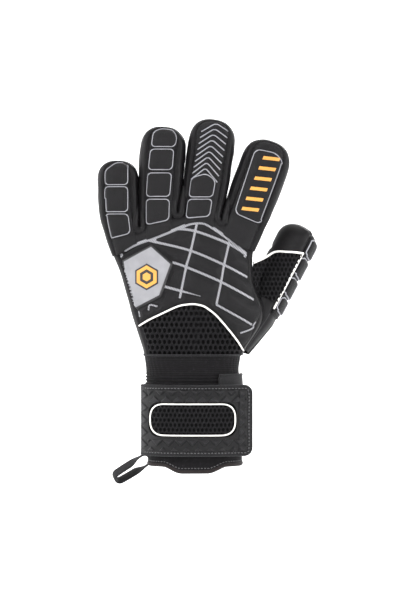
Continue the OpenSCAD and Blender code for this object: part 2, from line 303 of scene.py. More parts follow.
def patch(name, surface, corners, height, material, spacing=0.7, profile=None, out=(0, 1, 0)):
    corners = [Vector(c) for c in corners]
    low = Vector((min(c.x for c in corners), min(c.y for c in corners)))
    high = Vector((max(c.x for c in corners), max(c.y for c in corners)))
    bm = bmesh.new()
    bmesh.ops.create_grid(bm, x_segments=ceil((high.x - low.x) / spacing),
                          y_segments=ceil((high.y - low.y) / spacing), size=0.5)
    for v in bm.verts:
        v.co = Vector((mix(low.x, high.x, v.co.x + 0.5), mix(low.y, high.y, v.co.y + 0.5), 0))
    middle = sum(corners, Vector((0, 0))) / len(corners)
    for a, b in zip(corners, corners[1:] + corners[:1]):
        n = Vector((b.y - a.y, a.x - b.x))
        if n.dot(middle - a) > 0:
            n = -n
        bmesh.ops.bisect_plane(bm, geom=bm.verts[:] + bm.edges[:] + bm.faces[:], plane_co=(a.x, a.y, 0),
                               plane_no=(n.x, n.y, 0), clear_outer=True)
    flats = [Vector((v.co.x, v.co.y)) for v in bm.verts]
    route, ups = layOn(surface, flats, 0, out)
    for v, flat, p, up in zip(bm.verts, flats, route, ups):
        edge = min(segmentGap(flat, a, b) for a, b in zip(corners, corners[1:] + corners[:1]))
        v.co = (p + up * (profile(edge) if profile else height * ease(edge / 1.2) - 0.1)) * mm
    piece = keep(bm, name, material)
    turnOut(piece, -Vector(out))
    return piece


def stitches(name, surface, points, material, pitch=3.0, long=2.0, thick=0.45, lift=0.15, towards=(0, 1, 0)):
    route, ups = layOn(surface, points, lift, towards)
    lengths = [0]
    for a, b in zip(route, route[1:]):
        lengths.append(lengths[-1] + (b - a).length)
    bm = bmesh.new()
    i = 0
    for k in range(int(lengths[-1] / pitch)):
        want = (k + 0.5) * pitch
        while i < len(route) - 2 and lengths[i + 1] < want:
            i += 1
        p = route[i].lerp(route[i + 1], (want - lengths[i]) / (lengths[i + 1] - lengths[i]))
        along = (route[i + 1] - route[i]).normalized()
        side = along.cross(ups[i]).normalized()
        made = bmesh.ops.create_uvsphere(bm, u_segments=6, v_segments=4, radius=0.5)
        for v in made["verts"]:
            c = v.co.copy()
            v.co = (p + along * (c.z * long) + side * (c.x * thick * 2) + ups[i] * (c.y * thick * 2)) * mm
    return keep(bm, name, material)


def split(piece, where, across):  # cut a finger's piece in two at a plane
    halves = []
    for side, tag in ((1, "Base"), (-1, "Tip")):
        bm = bmesh.new()
        bm.from_mesh(piece.data)
        bmesh.ops.bisect_plane(bm, geom=bm.verts[:] + bm.edges[:] + bm.faces[:], plane_co=Vector(where) * mm,
                               plane_no=Vector(across) * side, clear_outer=True)
        halves.append(shownMesh(bm, piece.name + tag, piece.data.materials))
    drop(piece)
    return halves


# finishes
class Wire:
    # a value or colour on its way through a material
    def __init__(self, tree, socket):
        self.tree, self.socket = tree, socket

    def node(self, kind, settings=None, inputs=None, out=0):
        made = self.tree.nodes.new(kind)
        for key, value in (settings or {}).items():
            if key == "stops":
                ramp = made.color_ramp
                while len(ramp.elements) < len(value):
                    ramp.elements.new(0.5)
                for element, (at, colour) in zip(ramp.elements, value):
                    element.position, element.color = at, (*colour, 1)
            else:
                setattr(made, key, value)
        for key, value in (inputs or {}).items():
            if isinstance(value, Wire):
                self.tree.links.new(value.socket, made.inputs[key])
            else:
                made.inputs[key].default_value = value
        return Wire(self.tree, made.outputs[out])

    def maths(self, operation, *others):
        return self.node("ShaderNodeMath", {"operation": operation}, dict(enumerate([self, *others])))

    def __add__(self, other):
        return self.maths("ADD", other)

    __radd__ = __add__

    def __sub__(self, other):
        return self.maths("SUBTRACT", other)

    def __rsub__(self, other):
        return self.node("ShaderNodeMath", {"operation": "SUBTRACT"}, {0: other, 1: self})

    def __mul__(self, other):
        return self.maths("MULTIPLY", other)

    __rmul__ = __mul__

    def band(self, low, high, to=(0.0, 1.0)):  # an eased step from low to high
        return self.node("ShaderNodeMapRange", {"interpolation_type": "SMOOTHSTEP"},
                         {"Value": self, "From Min": low, "From Max": high, "To Min": to[0], "To Max": to[1]})

    def noise(self, scale, detail=3.0, rough=0.55):
        return self.node("ShaderNodeTexNoise", {},
                         {"Vector": self, "Scale": scale, "Detail": detail, "Roughness": rough})

    def cells(self, scale, feature="F1"):
        return self.node("ShaderNodeTexVoronoi", {"feature": feature}, {"Vector": self, "Scale": scale})

    def stripes(self, scale, direction="X", bend=0.0, profile="SIN"):
        return self.node("ShaderNodeTexWave", {"bands_direction": direction, "wave_profile": profile},
                         {"Vector": self, "Scale": scale, "Distortion": bend}, out=1)

    def turned(self, angles, scale=(1, 1, 1)):
        return self.node("ShaderNodeMapping", {},
                         {"Vector": self, "Rotation": [radians(a) for a in angles], "Scale": scale})

    def shades(self, *stops):
        return self.node("ShaderNodeValToRGB", {"stops": stops}, {"Fac": self})

    def blendTo(self, first, second, how="MIX"):  # self is the factor between two colours
        made = self.tree.nodes.new("ShaderNodeMix")
        made.data_type, made.blend_type = "RGBA", how
        self.tree.links.new(self.socket, made.inputs[0])
        for slot, value in ((6, first), (7, second)):
            if isinstance(value, Wire):
                self.tree.links.new(value.socket, made.inputs[slot])
            else:
                made.inputs[slot].default_value = (*value, 1)
        return Wire(self.tree, made.outputs[2])


def startFinish(name, source="Object"):
    material = bpy.data.materials.new(name)
    material.use_nodes = True
    tree = material.node_tree
    at = Wire(tree, tree.nodes.new("ShaderNodeTexCoord").outputs[source])
    return material, at


def closeFinish(material, at, colour, rough, bumps=(), **fixed):  # bumps are (height, distance in mm, strength)
    shader = next(n for n in at.tree.nodes if n.type == "BSDF_PRINCIPLED")
    for key, value in {"Base Color": colour, "Roughness": rough}.items():
        if isinstance(value, Wire):
            at.tree.links.new(value.socket, shader.inputs[key])
        else:
            shader.inputs[key].default_value = (*value, 1) if key == "Base Color" else value
    normal = None
    for height, distance, strength in bumps:
        inputs = {"Height": height, "Distance": distance * mm, "Strength": strength}
        if normal:
            inputs["Normal"] = normal
        normal = at.node("ShaderNodeBump", {}, inputs)
    if normal:
        at.tree.links.new(normal.socket, shader.inputs["Normal"])
    for key, value in fixed.items():
        shader.inputs[key].default_value = value
    return material


# reads the painted light and shade mask that a sheet carries
def value(at, name="pit"):
    return at.node("ShaderNodeAttribute", {"attribute_name": name}, out=2)


def latexFinish():  # smooth foam latex, dull, with pores and handling marks
    material, at = startFinish("latex_foam")
    pores = at.cells(1500).band(0.0, 0.45)
    soft = at.noise(260, 4)
    marks = at.noise(38, 5, 0.65)
    colour = marks.shades((0.3, (0.0031, 0.0029, 0.0033)), (0.55, (0.0048, 0.0045, 0.005)),
                          (0.8, (0.008, 0.0076, 0.0082)))
    colour = soft.band(0.35, 0.75).blendTo(colour, (0.0057, 0.0053, 0.0059))
    rough = marks * 0.2 + soft * 0.1 + 0.33
    return closeFinish(material, at, colour, rough, [(soft, 0.35, 0.35), (pores, 0.12, 0.35)],
                       **{"Specular IOR Level": 0.13})


def backFinish():  # embossed latex with a fine leather grain
    material, at = startFinish("back_foam")
    grain = at.cells(900, "DISTANCE_TO_EDGE").band(0.0, 0.14)
    wrinkle = at.noise(420, 5, 0.6)
    marks = at.noise(30, 4, 0.6)
    colour = marks.shades((0.3, (0.0027, 0.0025, 0.0029)), (0.6, (0.0044, 0.0041, 0.0047)),
                          (0.85, (0.0076, 0.0069, 0.0078)))
    colour = grain.blendTo((0.0038, 0.0036, 0.0042), colour)
    rough = 0.58 - grain * 0.12 + marks * 0.12
    return closeFinish(material, at, colour, rough, [(wrinkle, 0.3, 0.35), (grain, 0.16, 0.45)],
                       **{"Specular IOR Level": 0.16})


def silverFinish():  # printed band, hatched with fine slanting lines
    material, at = startFinish("silver_print")
    hatch = at.turned((0, 38, 0)).stripes(210, "X").band(0.25, 0.7)
    worn = at.noise(160, 5, 0.7)
    colour = hatch.blendTo((0.125, 0.125, 0.135), (0.23, 0.23, 0.245))
    colour = worn.band(0.62, 0.8).blendTo(colour, (0.1, 0.1, 0.115))
    return closeFinish(material, at, colour, 0.34 + worn * 0.2, [(hatch, 0.1, 0.4), (worn, 0.1, 0.3)],
                       **{"Specular IOR Level": 0.6, "Metallic": 0.25})


def silverEdgeFinish():
    material, at = startFinish("silver_edge")
    worn = at.noise(220, 5, 0.7)
    colour = worn.shades((0.35, (0.27, 0.27, 0.29)), (0.6, (0.22, 0.22, 0.24)), (0.78, (0.1, 0.1, 0.115)))
    return closeFinish(material, at, colour, 0.36 + worn * 0.2, [(worn, 0.15, 0.35)], **{"Metallic": 0.3})


def airMeshFinish():  # thick knitted spacer mesh, with painted shade darkening its holes
    material, at = startFinish("air_mesh")
    hole = value(at)
    yarn = at.turned((0, 30, 0), (1, 1, 1)).stripes(520, "X", 1.5)
    across = at.turned((0, -30, 0)).stripes(520, "Z", 1.5)
    knit = yarn * 0.5 + across * 0.5
    colour = knit.blendTo((0.0021, 0.0021, 0.0024), (0.008, 0.0076, 0.0086))
    # painted shade: the holes are coloured darker, as if shadowed
    colour = hole.band(0.15, 0.7).blendTo(colour, (0.0009, 0.0009, 0.0011))
    return closeFinish(material, at, colour, 0.55 + hole * 0.3, [(knit, 0.2, 0.7)],
                       **{"Specular IOR Level": 0.1})


def pipingFinish(name="white_piping", tone=(0.86, 0.84, 0.79)):
    material, at = startFinish(name)
    weave = at.turned((0, 45, 0)).stripes(900, "X")
    soil = at.noise(90, 4, 0.6)
    colour = soil.shades((0.35, tone), (0.7, tuple(0.86 * c for c in tone)), (0.85, tuple(0.66 * c for c in tone)))
    return closeFinish(material, at, colour, 0.6, [(weave, 0.08, 0.35)], **{"Sheen Weight": 0.3})


def knitFinish(name, dark, light, wale, course, distance):  # knit: columns of small stitches
    material, at = startFinish(name)
    columns = at.stripes(wale, "X", 0.6)
    rows = at.stripes(course, "Z", 0.8)
    loops = columns * rows
    fluff = at.noise(300, 4, 0.7)
    colour = loops.blendTo(dark, light)
    colour = fluff.band(0.55, 0.8).blendTo(colour, tuple(1.5 * c for c in light))
    return closeFinish(material, at, colour, 0.8, [(loops, distance, 0.8), (fluff, 0.2, 0.25)],
                       **{"Sheen Weight": 0.04, "Sheen Roughness": 0.4, "Specular IOR Level": 0.12})


def strapFinish():  # moulded rubbery strap face, with painted light making its raised triangles lighter
    material, at = startFinish("strap_face")
    grain = at.cells(1100, "DISTANCE_TO_EDGE").band(0.0, 0.16)
    marks = at.noise(45, 4, 0.6)
    raised = value(at)
    # painted light: the raised triangles are coloured lighter, as if catching the lamps
    colour = raised.blendTo((0.0025, 0.0024, 0.0028), (0.0057, 0.0054, 0.0063))
    colour = marks.band(0.55, 0.8).blendTo(colour, (0.0101, 0.0095, 0.0109))
    return closeFinish(material, at, colour, 0.36 + marks * 0.16 - raised * 0.08, [(grain, 0.1, 0.35)],
                       **{"Specular IOR Level": 0.2})


def tapeFinish(name="webbing", dark=(0.0038, 0.0038, 0.0044), light=(0.0151, 0.0147, 0.0168)):  # woven tape
    material, at = startFinish(name)
    warp = at.turned((0, 32, 0)).stripes(620, "X")
    weft = at.turned((0, 32, 0)).stripes(480, "Z")
    weave = warp * weft
    colour = weave.blendTo(dark, light)
    return closeFinish(material, at, colour, 0.72, [(weave, 0.2, 0.8)],
                       **{"Sheen Weight": 0.05, "Specular IOR Level": 0.2})


def printFinish(name, colour, shade, rough=0.45):  # moulded badge rubber
    material, at = startFinish(name)
    speck = at.noise(500, 3)
    wide = at.noise(55, 3)
    tone = wide.band(0.35, 0.7).blendTo(colour, shade)
    return closeFinish(material, at, tone, rough + speck * 0.12, [(speck, 0.08, 0.3)], **{"Specular IOR Level": 0.5})


def pileFinish():  # hook and loop
    material, at = startFinish("hook_and_loop")
    pile = at.cells(1400).band(0.1, 0.6)
    colour = pile.blendTo((0.0126, 0.0126, 0.0139), (0.0034, 0.0034, 0.0038))
    return closeFinish(material, at, colour, 0.85, [(pile, 0.5, 0.9)], **{"Sheen Weight": 0.4})


def threadFinish():
    material, at = startFinish("stitching")
    twist = at.stripes(1500, "Z")
    colour = twist.blendTo((0.0084, 0.0084, 0.0092), (0.07, 0.068, 0.075))
    return closeFinish(material, at, colour, 0.6, [(twist, 0.1, 0.5)], **{"Sheen Weight": 0.3})


latex = latexFinish()
backFoam = backFinish()
silver = silverFinish()
silverEdge = silverEdgeFinish()
airMesh = airMeshFinish()
whitePiping = pipingFinish()
elasticKnit = knitFinish("elastic_knit", (0.0021, 0.0019, 0.0023), (0.0088, 0.0082, 0.0092), 340, 210, 0.35)
cuffKnit = knitFinish("cuff_knit", (0.0025, 0.0023, 0.0027), (0.0109, 0.0103, 0.0118), 300, 300, 0.3)
liningKnit = knitFinish("lining_knit", (0.0126, 0.0126, 0.0139), (0.085, 0.085, 0.092), 420, 300, 0.2)
strapFace = strapFinish()
tape = tapeFinish()
hemTape = tapeFinish("hem_tape", (0.0059, 0.0038, 0.0038), (0.021, 0.0147, 0.0143))
badgeGrey = printFinish("badge_grey", (0.165, 0.165, 0.176), (0.205, 0.205, 0.216))
badgeBlack = printFinish("badge_black", (0.0034, 0.0034, 0.0038), (0.0055, 0.005, 0.0059))
emblemOrange = printFinish("emblem_orange", (0.52, 0.25, 0.036), (0.46, 0.21, 0.03), 0.4)
pile = pileFinish()
thread = threadFinish()
print("finishes made")

# hand
hand = {
    "left": [(93, -40.5), (102, -42.8), (112, -46.3), (122, -49.5), (131, -52), (146, -56), (155, -58.5), (165, -62),
             (174, -66), (184, -70), (194, -73.5), (204, -76)],
    "right": [(93, 36), (102, 41), (108, 45.5), (114, 49), (121, 52.5), (128, 53.5), (134, 52.5), (139, 50), (146, 47),
              (154, 45), (165, 44.3), (171, 44), (178, 45.6), (185, 48.5), (195, 53), (204, 58)],
    "deep": [(93, 24), (115, 23.5), (130, 22.5), (150, 20.5), (170, 18), (190, 15.6), (206, 14.4)],
    "top": [(-78, 197), (-62, 199), (-50, 196), (-45.7, 193.5), (-40, 199), (-30, 204), (-19, 207), (-14.4, 205.5),
            (-9, 209), (3, 210), (14, 206), (20, 200.5), (27, 203), (40, 205), (56, 199), (66, 197)],
    "foot": 93.2, "round": 9,
    "backFrom": 206, "backTo": 338,
    "meshArc": [(-45.5, 117), (-38, 121.5), (-30, 125.4), (-15, 132.3), (-7, 134), (-1, 134.2), (4, 133.3), (8, 131.6),
                (16, 125.4), (26, 114), (33, 105), (38, 97), (41, 92)],
    "knuckleArc": [(-68, 170), (-50, 181), (-33.5, 187), (-16, 194), (-6, 198), (-1, 199), (4, 199.2), (8.6, 198),
                   (18, 192), (29, 184), (46, 170.5)],
    "holePitch": 4.5,
}


def handEdges(z):
    return softLookUp(z, hand["left"]), softLookUp(z, hand["right"])


def topClose(z, top):  # the hand thins to nothing at its top
    return domed((z - (top - hand["round"])) / hand["round"], 2.2)


def handPoint(a, z, lift=0.0, top=None):
    left, right = handEdges(z)
    half, deep = (right - left) / 2, softLookUp(z, hand["deep"])
    if top is not None:
        deep *= topClose(z, top)
    x, y = oval(a, half, deep)
    n = Vector((signedPower(x / half, 1.5) / half, signedPower(y / max(deep, 1), 1.5) / max(deep, 1), 0))
    return Vector(((left + right) / 2 + x, y, z)) + unit(n, (0, -1, 0)) * lift


def handDepth(x, z, top):  # how far the back stands out at a place, 0 outside the hand
    left, right = handEdges(z)
    half, middle = (right - left) / 2, (left + right) / 2
    q = abs(x - middle) / half
    if q >= 1 or z > top:
        return 0
    return softLookUp(z, hand["deep"]) * topClose(z, top) * (1 - q ** 2.5) ** 0.4


def arcMeet(a, table, z=150.0):
    for _ in range(14):
        z = mix(z, lookUp(handPoint(a, z).x, table), 0.6)
    return max(z, hand["foot"])


def topMeet(a):
    return softLookUp(handPoint(a, 200).x, hand["top"], 4)


netSquash = 0.74  # the net's holes are taller than wide by this
smallPitch = 3.3


def holes(p, z, pitch):  # 1 in the middle of a hole of a staggered net, 0 on its threads
    q = netSquash * z
    rowHigh = pitch * 0.866
    best = 9.0
    for row in (floor(q / rowHigh), floor(q / rowHigh) + 1):
        shift = 0.5 * pitch * (row % 2)
        column = round((p - shift) / pitch)
        best = min(best, hypot(p - shift - column * pitch, q - row * rowHigh))
    return ease((0.44 * pitch - best) / (0.2 * pitch))


def v2(*points):
    return [Vector(p) for p in points]


printLines = {  # the silver bands on the back, as (width, points)
    "columnRing": (2.6, v2((-33.2, 187.5), (-32.6, 183))),
    "columnMiddle": (2.1, v2((0.8, 199), (-4.2, 176.8), (-8, 163.2), (-12.9, 139))),
    "columnIndex": (2.1, v2((26.9, 185), (22.4, 165.6), (20, 152), (16.2, 134))),
    "rowA": (2.4, v2((-16, 194.5), (0, 192.4), (26.4, 182.4), (41, 173.2))),
    "rowB": (2.3, v2((-40, 185.6), (-32.8, 184), (-4, 176.8), (22.4, 165.6), (40.8, 156))),
    "rowC": (2.3, v2((-18.6, 167.6), (-8, 164), (20, 152), (46, 138))),
    "rowD": (2.4, v2((-25, 148.3), (-12, 144.8), (3.6, 140.6))),
    "rowE": (2.0, v2((16, 134), (33, 124.6), (44.4, 118))),
    "heelLine": (1.6, v2((35.2, 111.2), (44, 114.4), (49.5, 119))),
    "badgeHook": (1.6, v2((-37.8, 129.4), (-36.8, 133.6), (-30.6, 132.4))),
    "edgeHook": (1.6, v2((-46.2, 124), (-46.8, 128.6))),
}
arcLine = smoothRoute(hand["knuckleArc"], 1.5)
meshLine = smoothRoute(hand["meshArc"][:-1], 1.5)
badge = {"corners": v2((-35.4, 182), (-18.3, 166.5), (-27.4, 140), (-47.5, 130), (-53, 139), (-57, 156),
                       (-58.8, 169.5)),
         "border": 1.7, "thick": 1.5}
grooves = [arcLine, meshLine] + [points for _, points in printLines.values()]


def panelHeight(x, z):
    p = Vector((x, z))
    gap = min(routeGap(p, route) for route in grooves)
    inside = insideGap(p, badge["corners"])
    if inside > -3:
        gap = min(gap, max(0, -inside))
    puff = 2.3 * (1 - exp(-(max(0, gap - 1.0) / 4.2) ** 1.25))
    wander = noise.noise(Vector((x, 7, z)) * 0.07) * 0.7 + noise.noise(Vector((x, 3, z)) * 0.2) * 0.16
    return puff + wander * ease(gap / 5)


def backSheet(name, nu, nv, low, high, height, material):
    def place(u, w):
        a = radians(mix(hand["backFrom"], hand["backTo"], u))
        zLow, zHigh = low(a), high(a)
        z = mix(zLow, max(zLow, zHigh), w)
        top = topMeet(a)
        p = handPoint(a, z, 0, top)
        h = height(p.x, p.z)
        h, pit = h if isinstance(h, tuple) else (h, 0)
        seam = ease(min(u, 1 - u) * 50)
        p = handPoint(a, z, h * seam - 0.7 * (1 - seam), top)
        return (*p, pit)

    return sheet(name, nu, nv, place, material, out=(0, -1, 0))


def meshHeight(x, z):
    hole = holes(x, z, 0.86 * hand["holePitch"])
    # the second value is the hole mask, used for painted shade in the holes
    return -1.5 * hole - 0.2, hole


def toMeshArc(a):
    return arcMeet(a, hand["meshArc"])


def toKnuckleArc(a):
    return arcMeet(a, hand["knuckleArc"])


wristMesh = backSheet("wristMesh", 190, 90, lambda a: hand["foot"], toMeshArc, meshHeight, airMesh)
backhand = backSheet("backhandPanel", 170, 110, toMeshArc, toKnuckleArc, panelHeight, backFoam)
band = backSheet("knuckleBand", 170, 36, toKnuckleArc, topMeet,
                 lambda x, z: 0.5 * ease((z - lookUp(x, hand["knuckleArc"])) / 4), backFoam)
palmFolds = (((40, 186), (-30, 176), 0.8), ((-66, 168), (20, 186), 0.7), ((12, 182), (22, 118), 0.7))

# flat size of each finger's lining: girth, then the length of its lower and its upper half
liningCuts = {"little": (0.061, 0.044, 0.036), "ring": (0.067, 0.047, 0.053),
              "middle": (0.067, 0.051, 0.055), "index": (0.07, 0.049, 0.047)}


def palmPlace(u, w):
    a = radians(mix(-22, 206, u))
    top = topMeet(a)
    z = mix(hand["foot"], top, w)
    p = handPoint(a, z, 0, top)
    seam = ease(min(u, 1 - u) * 40)
    crease = 0
    if p.y > 0:  # the palm's soft folds
        for start, end, deep in palmFolds:
            gap = segmentGap(Vector((p.x, p.z)), Vector(start), Vector(end))
            crease += deep * exp(-(gap / 1.8) ** 2)
    swell = 0.8 + noise.noise(p * 0.05) * 0.8 - crease
    rise = 2.2 * exp(-((p.x - 26) / 16) ** 2 - ((p.z - 132) / 24) ** 2) if p.y > 0 else 0
    return handPoint(a, z, (swell + rise) * seam - 0.7 * (1 - seam), top)


palm = sheet("palmLatex", 150, 90, palmPlace, latex, out=(0, 1, 0))


def handLiningPlace(u, w):
    a = 2 * pi * u
    top = topMeet(a)
    return handPoint(a, mix(hand["foot"] - 2, top - 6, w), -5, top)


handLining = sheet("handLining", 60, 24, handLiningPlace, liningKnit)
handLining.data.flip_normals()
carry("hand", (wristMesh, "wrist_mesh"), (backhand, "backhand_panel"), (band, "knuckle_band"),
      (palm, "palm_latex", "little_side_gusset", "thumb_side_gusset"), (handLining, "hand_lining"))
print("hand made")

# fingers
fingers = {
    "little": {"route": v2((-54.5, 176), (-58.6, 192), (-61.6, 208), (-62.6, 230), (-62.8, 249.4)),
               "half": [12.8, 14.6, 16.4, 16.6, 16.2], "stripHalf": 10.6, "cut": 217.5},
    "ring": {"route": v2((-30, 182), (-29.8, 200), (-29, 222), (-27.4, 250), (-24.6, 276.6)),
             "half": [14.4, 16.2, 17.9, 18.4, 17.8], "stripHalf": 11.4, "cut": 228},
    "middle": {"route": v2((0.5, 184), (3.6, 204), (7.6, 228), (11.4, 256), (14.8, 282.3)),
               "half": [14.6, 16.8, 18.4, 18.8, 18], "stripHalf": 13, "cut": 232.5},
    "index": {"route": v2((31.5, 182), (38, 200), (46.2, 222), (54.2, 244), (61, 265.2)),
              "half": [16, 18.2, 19.8, 19.6, 18.4], "stripHalf": 13.4, "cut": 225},
}
fingerDeep = 14.0
latexBulge = 0.9
tipRound = 0.92  # length of the rounded tip, as a share of the half width


def prepareFinger(f):
    f["line"] = smoothRoute(f["route"], 0.8)
    f["long"] = 0.0
    f["at"] = [0.0]
    for a, b in zip(f["line"], f["line"][1:]):
        f["long"] += (b - a).length
        f["at"].append(f["long"])


def fingerFrame(f, s):  # middle, direction and half width at a distance along the finger
    s = min(f["long"], max(0, s))
    i = min(len(f["line"]) - 2, int(s / f["long"] * (len(f["line"]) - 1)))
    a, b = f["line"][i], f["line"][i + 1]
    t = (s - f["at"][i]) / (f["at"][i + 1] - f["at"][i])
    before, after = f["line"][max(0, i - 3)], f["line"][min(len(f["line"]) - 1, i + 4)]
    k = s / f["long"] * 4
    j = min(3, int(k))
    half = mix(f["half"][j], f["half"][j + 1], k - j)
    return a.lerp(b, t), (after - before).normalized(), half


def domeFactor(f, s, half):
    r = tipRound * half
    return domed((s - (f["long"] - r)) / r)


def fingerSpot(f, x, z):  # distance along, and across to the thumb side
    best = min(range(len(f["line"])), key=lambda i: (f["line"][i].x - x) ** 2 + (f["line"][i].y - z) ** 2)
    middle, along, half = fingerFrame(f, f["at"][best])
    off = Vector((x, z)) - middle
    return f["at"][best] + off.dot(along), off.dot(Vector((along.y, -along.x))), half


def stripEdge(f, q, s):  # how far a place on the back is outside the foam strip, below 0 on it
    top, r = f["long"] - 0.5, 0.85 * f["stripHalf"]
    dx, dy = abs(q) - (f["stripHalf"] - r), s - (top - r)
    return hypot(max(dx, 0), max(dy, 0)) + min(0, max(dx, dy)) - r


def finger3d(f, a, s, lift=0.0):
    middle, along, half = fingerFrame(f, s)
    k = domeFactor(f, s, half)
    q, y = oval(a, half * k, fingerDeep * k)
    across = signedPower(q / max(half * k, 0.5), 1.5) / half
    out = signedPower(y / max(fingerDeep * k, 0.5), 1.5) / fingerDeep
    side, ahead = Vector((along.y, 0, -along.x)), Vector((along.x, 0, along.y))
    normal = unit(side * across + Vector((0, out, 0)) + ahead * (0.09 * (1 - k)), ahead)
    return Vector((middle.x, 0, middle.y)) + side * q + Vector((0, y, 0)) + normal * lift, q, y


def tipSteps(f, w, start):  # rows close up towards the tip
    r = tipRound * f["half"][-1]
    shoulder = f["long"] - r
    if w < 0.62:
        return mix(start, shoulder, w / 0.62)
    return shoulder + r * sin((w - 0.62) / 0.38 * pi / 2) ** 0.86


def rollHeight(f, q, y, s):
    if y > 0:
        e = 14.0 + y
    else:
        e = stripEdge(f, q, s) + max(0, y + 11.5) * 0.7
    if e < 0:
        return -1.6
    return -1.5 + (1.5 + latexBulge) * ease(e / 2.4) - 0.7 * ease((e - 4) / 9)


def fingerTube(name, f, material, lift=None):
    def place(u, w):
        a = 2 * pi * u
        s = tipSteps(f, w, 0)
        p, q, y = finger3d(f, a, s)
        h = rollHeight(f, q, y, s) if lift is None else lift
        if lift is None:
            h += noise.noise(p * 0.09) * 0.45
            if y > 3:  # palm folds
                h -= sum(1.0 * exp(-((s - at) / 1.6) ** 2) for at in f["folds"])
        return finger3d(f, a, s, h)[0]

    return sheet(name, 72, 74, place, material)


pads = {
    "little": [v2((-72.6, 229.8), (-54.6, 229.8), (-54.6, 247.6), (-64, 247.6), (-72.6, 241)),
               v2((-73, 208.2), (-54.6, 208.2), (-54.6, 228), (-72.8, 228)),
               v2((-70.6, 186.4), (-52.6, 191), (-54.4, 206.2), (-72.6, 206.2))],
    "ring": [v2((-35.6, 260.2), (-16.8, 260.2), (-15.4, 268), (-18.5, 274), (-28, 274.8), (-34, 272)),
             v2((-38, 241.8), (-19.2, 241.8), (-17.8, 258), (-36.2, 258)),
             v2((-39.6, 220.4), (-21.2, 220.4), (-19.6, 239), (-38.4, 239)),
             v2((-39.6, 197.8), (-21.8, 201.6), (-21.4, 218), (-39.6, 218))],
    "middle": [v2((-5.6, 220), (13.2, 220), (15.4, 233), (8, 238.5), (-3.6, 235)),
               v2((-8, 203), (10.6, 204.6), (12.8, 218), (-6.2, 218))],
    "index": [v2((30.8, 207.2), (51.8, 198.2), (70, 246.6), (64, 254.8), (47.6, 258.2))],
}
padRise = 1.5


def stripHeight(f, q, s, x, z, groups):
    edge = -stripEdge(f, q, s)
    h = -1.4 + 2.2 * ease(edge / 2.0)
    p = Vector((x, z))
    raised = max(insideGap(p, corners) for corners in groups)
    puffed = padRise * ease((raised + 0.5) / 1.1) + 0.35 * ease(raised / 5)
    return h + puffed - 0.3 * ease((0.8 - abs(raised + 1.1)) / 0.8)


def chevron(k):  # one silver roof line of the middle finger: left end, top, right end
    t = k / 8
    return v2((mix(3.4, -4.6, t), mix(271.6, 233.6, t)), (mix(16, 7.6, t), mix(279, 243, t)),
              (mix(27.6, 18.6, t), mix(271.4, 229.6, t)))


def chevronRoute(c):  # straight sides under a soft top
    left = [c[0].lerp(c[1], t) for t in (0.07, 0.45, 0.86)]
    right = [c[2].lerp(c[1], t) for t in (0.86, 0.5, 0.14)]
    return smoothRoute(left + [c[1] + Vector((0, -0.9))] + right, 1)


def stripFoot(x):  # just above the silver arc
    return lookUp(x, hand["knuckleArc"]) + 0.6


def fingerStrip(name, f, groups):
    def place(u, w):
        s = mix(0.0, f["long"] - 0.5, 1 - (1 - w) ** 1.15)
        middle, along, half = fingerFrame(f, s)
        r, top = 0.85 * f["stripHalf"], f["long"] - 0.5
        over = max(0, s - (top - r))
        wide = f["stripHalf"] - r + sqrt(max(0, r * r - over * over)) if over else f["stripHalf"]
        q = wide * (2 * u - 1)
        spot = middle + Vector((along.y, -along.x)) * q
        if spot.y < stripFoot(spot.x):
            spot.y = stripFoot(spot.x)
        k = domeFactor(f, s, half)
        own = fingerDeep * k * max(0, 1 - min(1, abs(q) / max(0.1, half * k)) ** 2.5) ** 0.4
        under = handDepth(spot.x, spot.y, softLookUp(spot.x, hand["top"], 4))
        depth = max(own, under) + max(0, 3 - abs(own - under)) ** 2 / 12
        h = stripHeight(f, q, s, spot.x, spot.y, groups)
        if name == "middle":
            gap = min(min(segmentGap(spot, c[0], c[1]), segmentGap(spot, c[1], c[2])) for c in chevrons)
            h += 0.9 * ease((gap - 0.6) / 1.2) * ease((spot.y - 240 + abs(q) * 0.9) / 4)
        return spot.x, -(depth + h), spot.y

    return sheet(name + "Strip", 46, 120, place, backFoam, out=(0, -1, 0))


gripBars = {"count": 6, "from": Vector((43.4, 210)), "to": Vector((60.2, 250.4)), "half": 6.6, "thick": 1.55,
            "slant": 0.3}


def gripBar(surface, k):  # a plain slanting bar across the index finger
    along = (gripBars["to"] - gripBars["from"]).normalized()
    across = Vector((along.y, -along.x)) + along * gripBars["slant"]
    middle = gripBars["from"].lerp(gripBars["to"], k / (gripBars["count"] - 1))
    a, b = across * gripBars["half"], along * gripBars["thick"]
    corners = [middle - a - b, middle + a - b, middle + a + b, middle - a + b]
    return patch("bar", surface, corners, 0.6, emblemOrange, 0.5, lambda e: 0.7 * ease(e / 0.6) - 0.1)


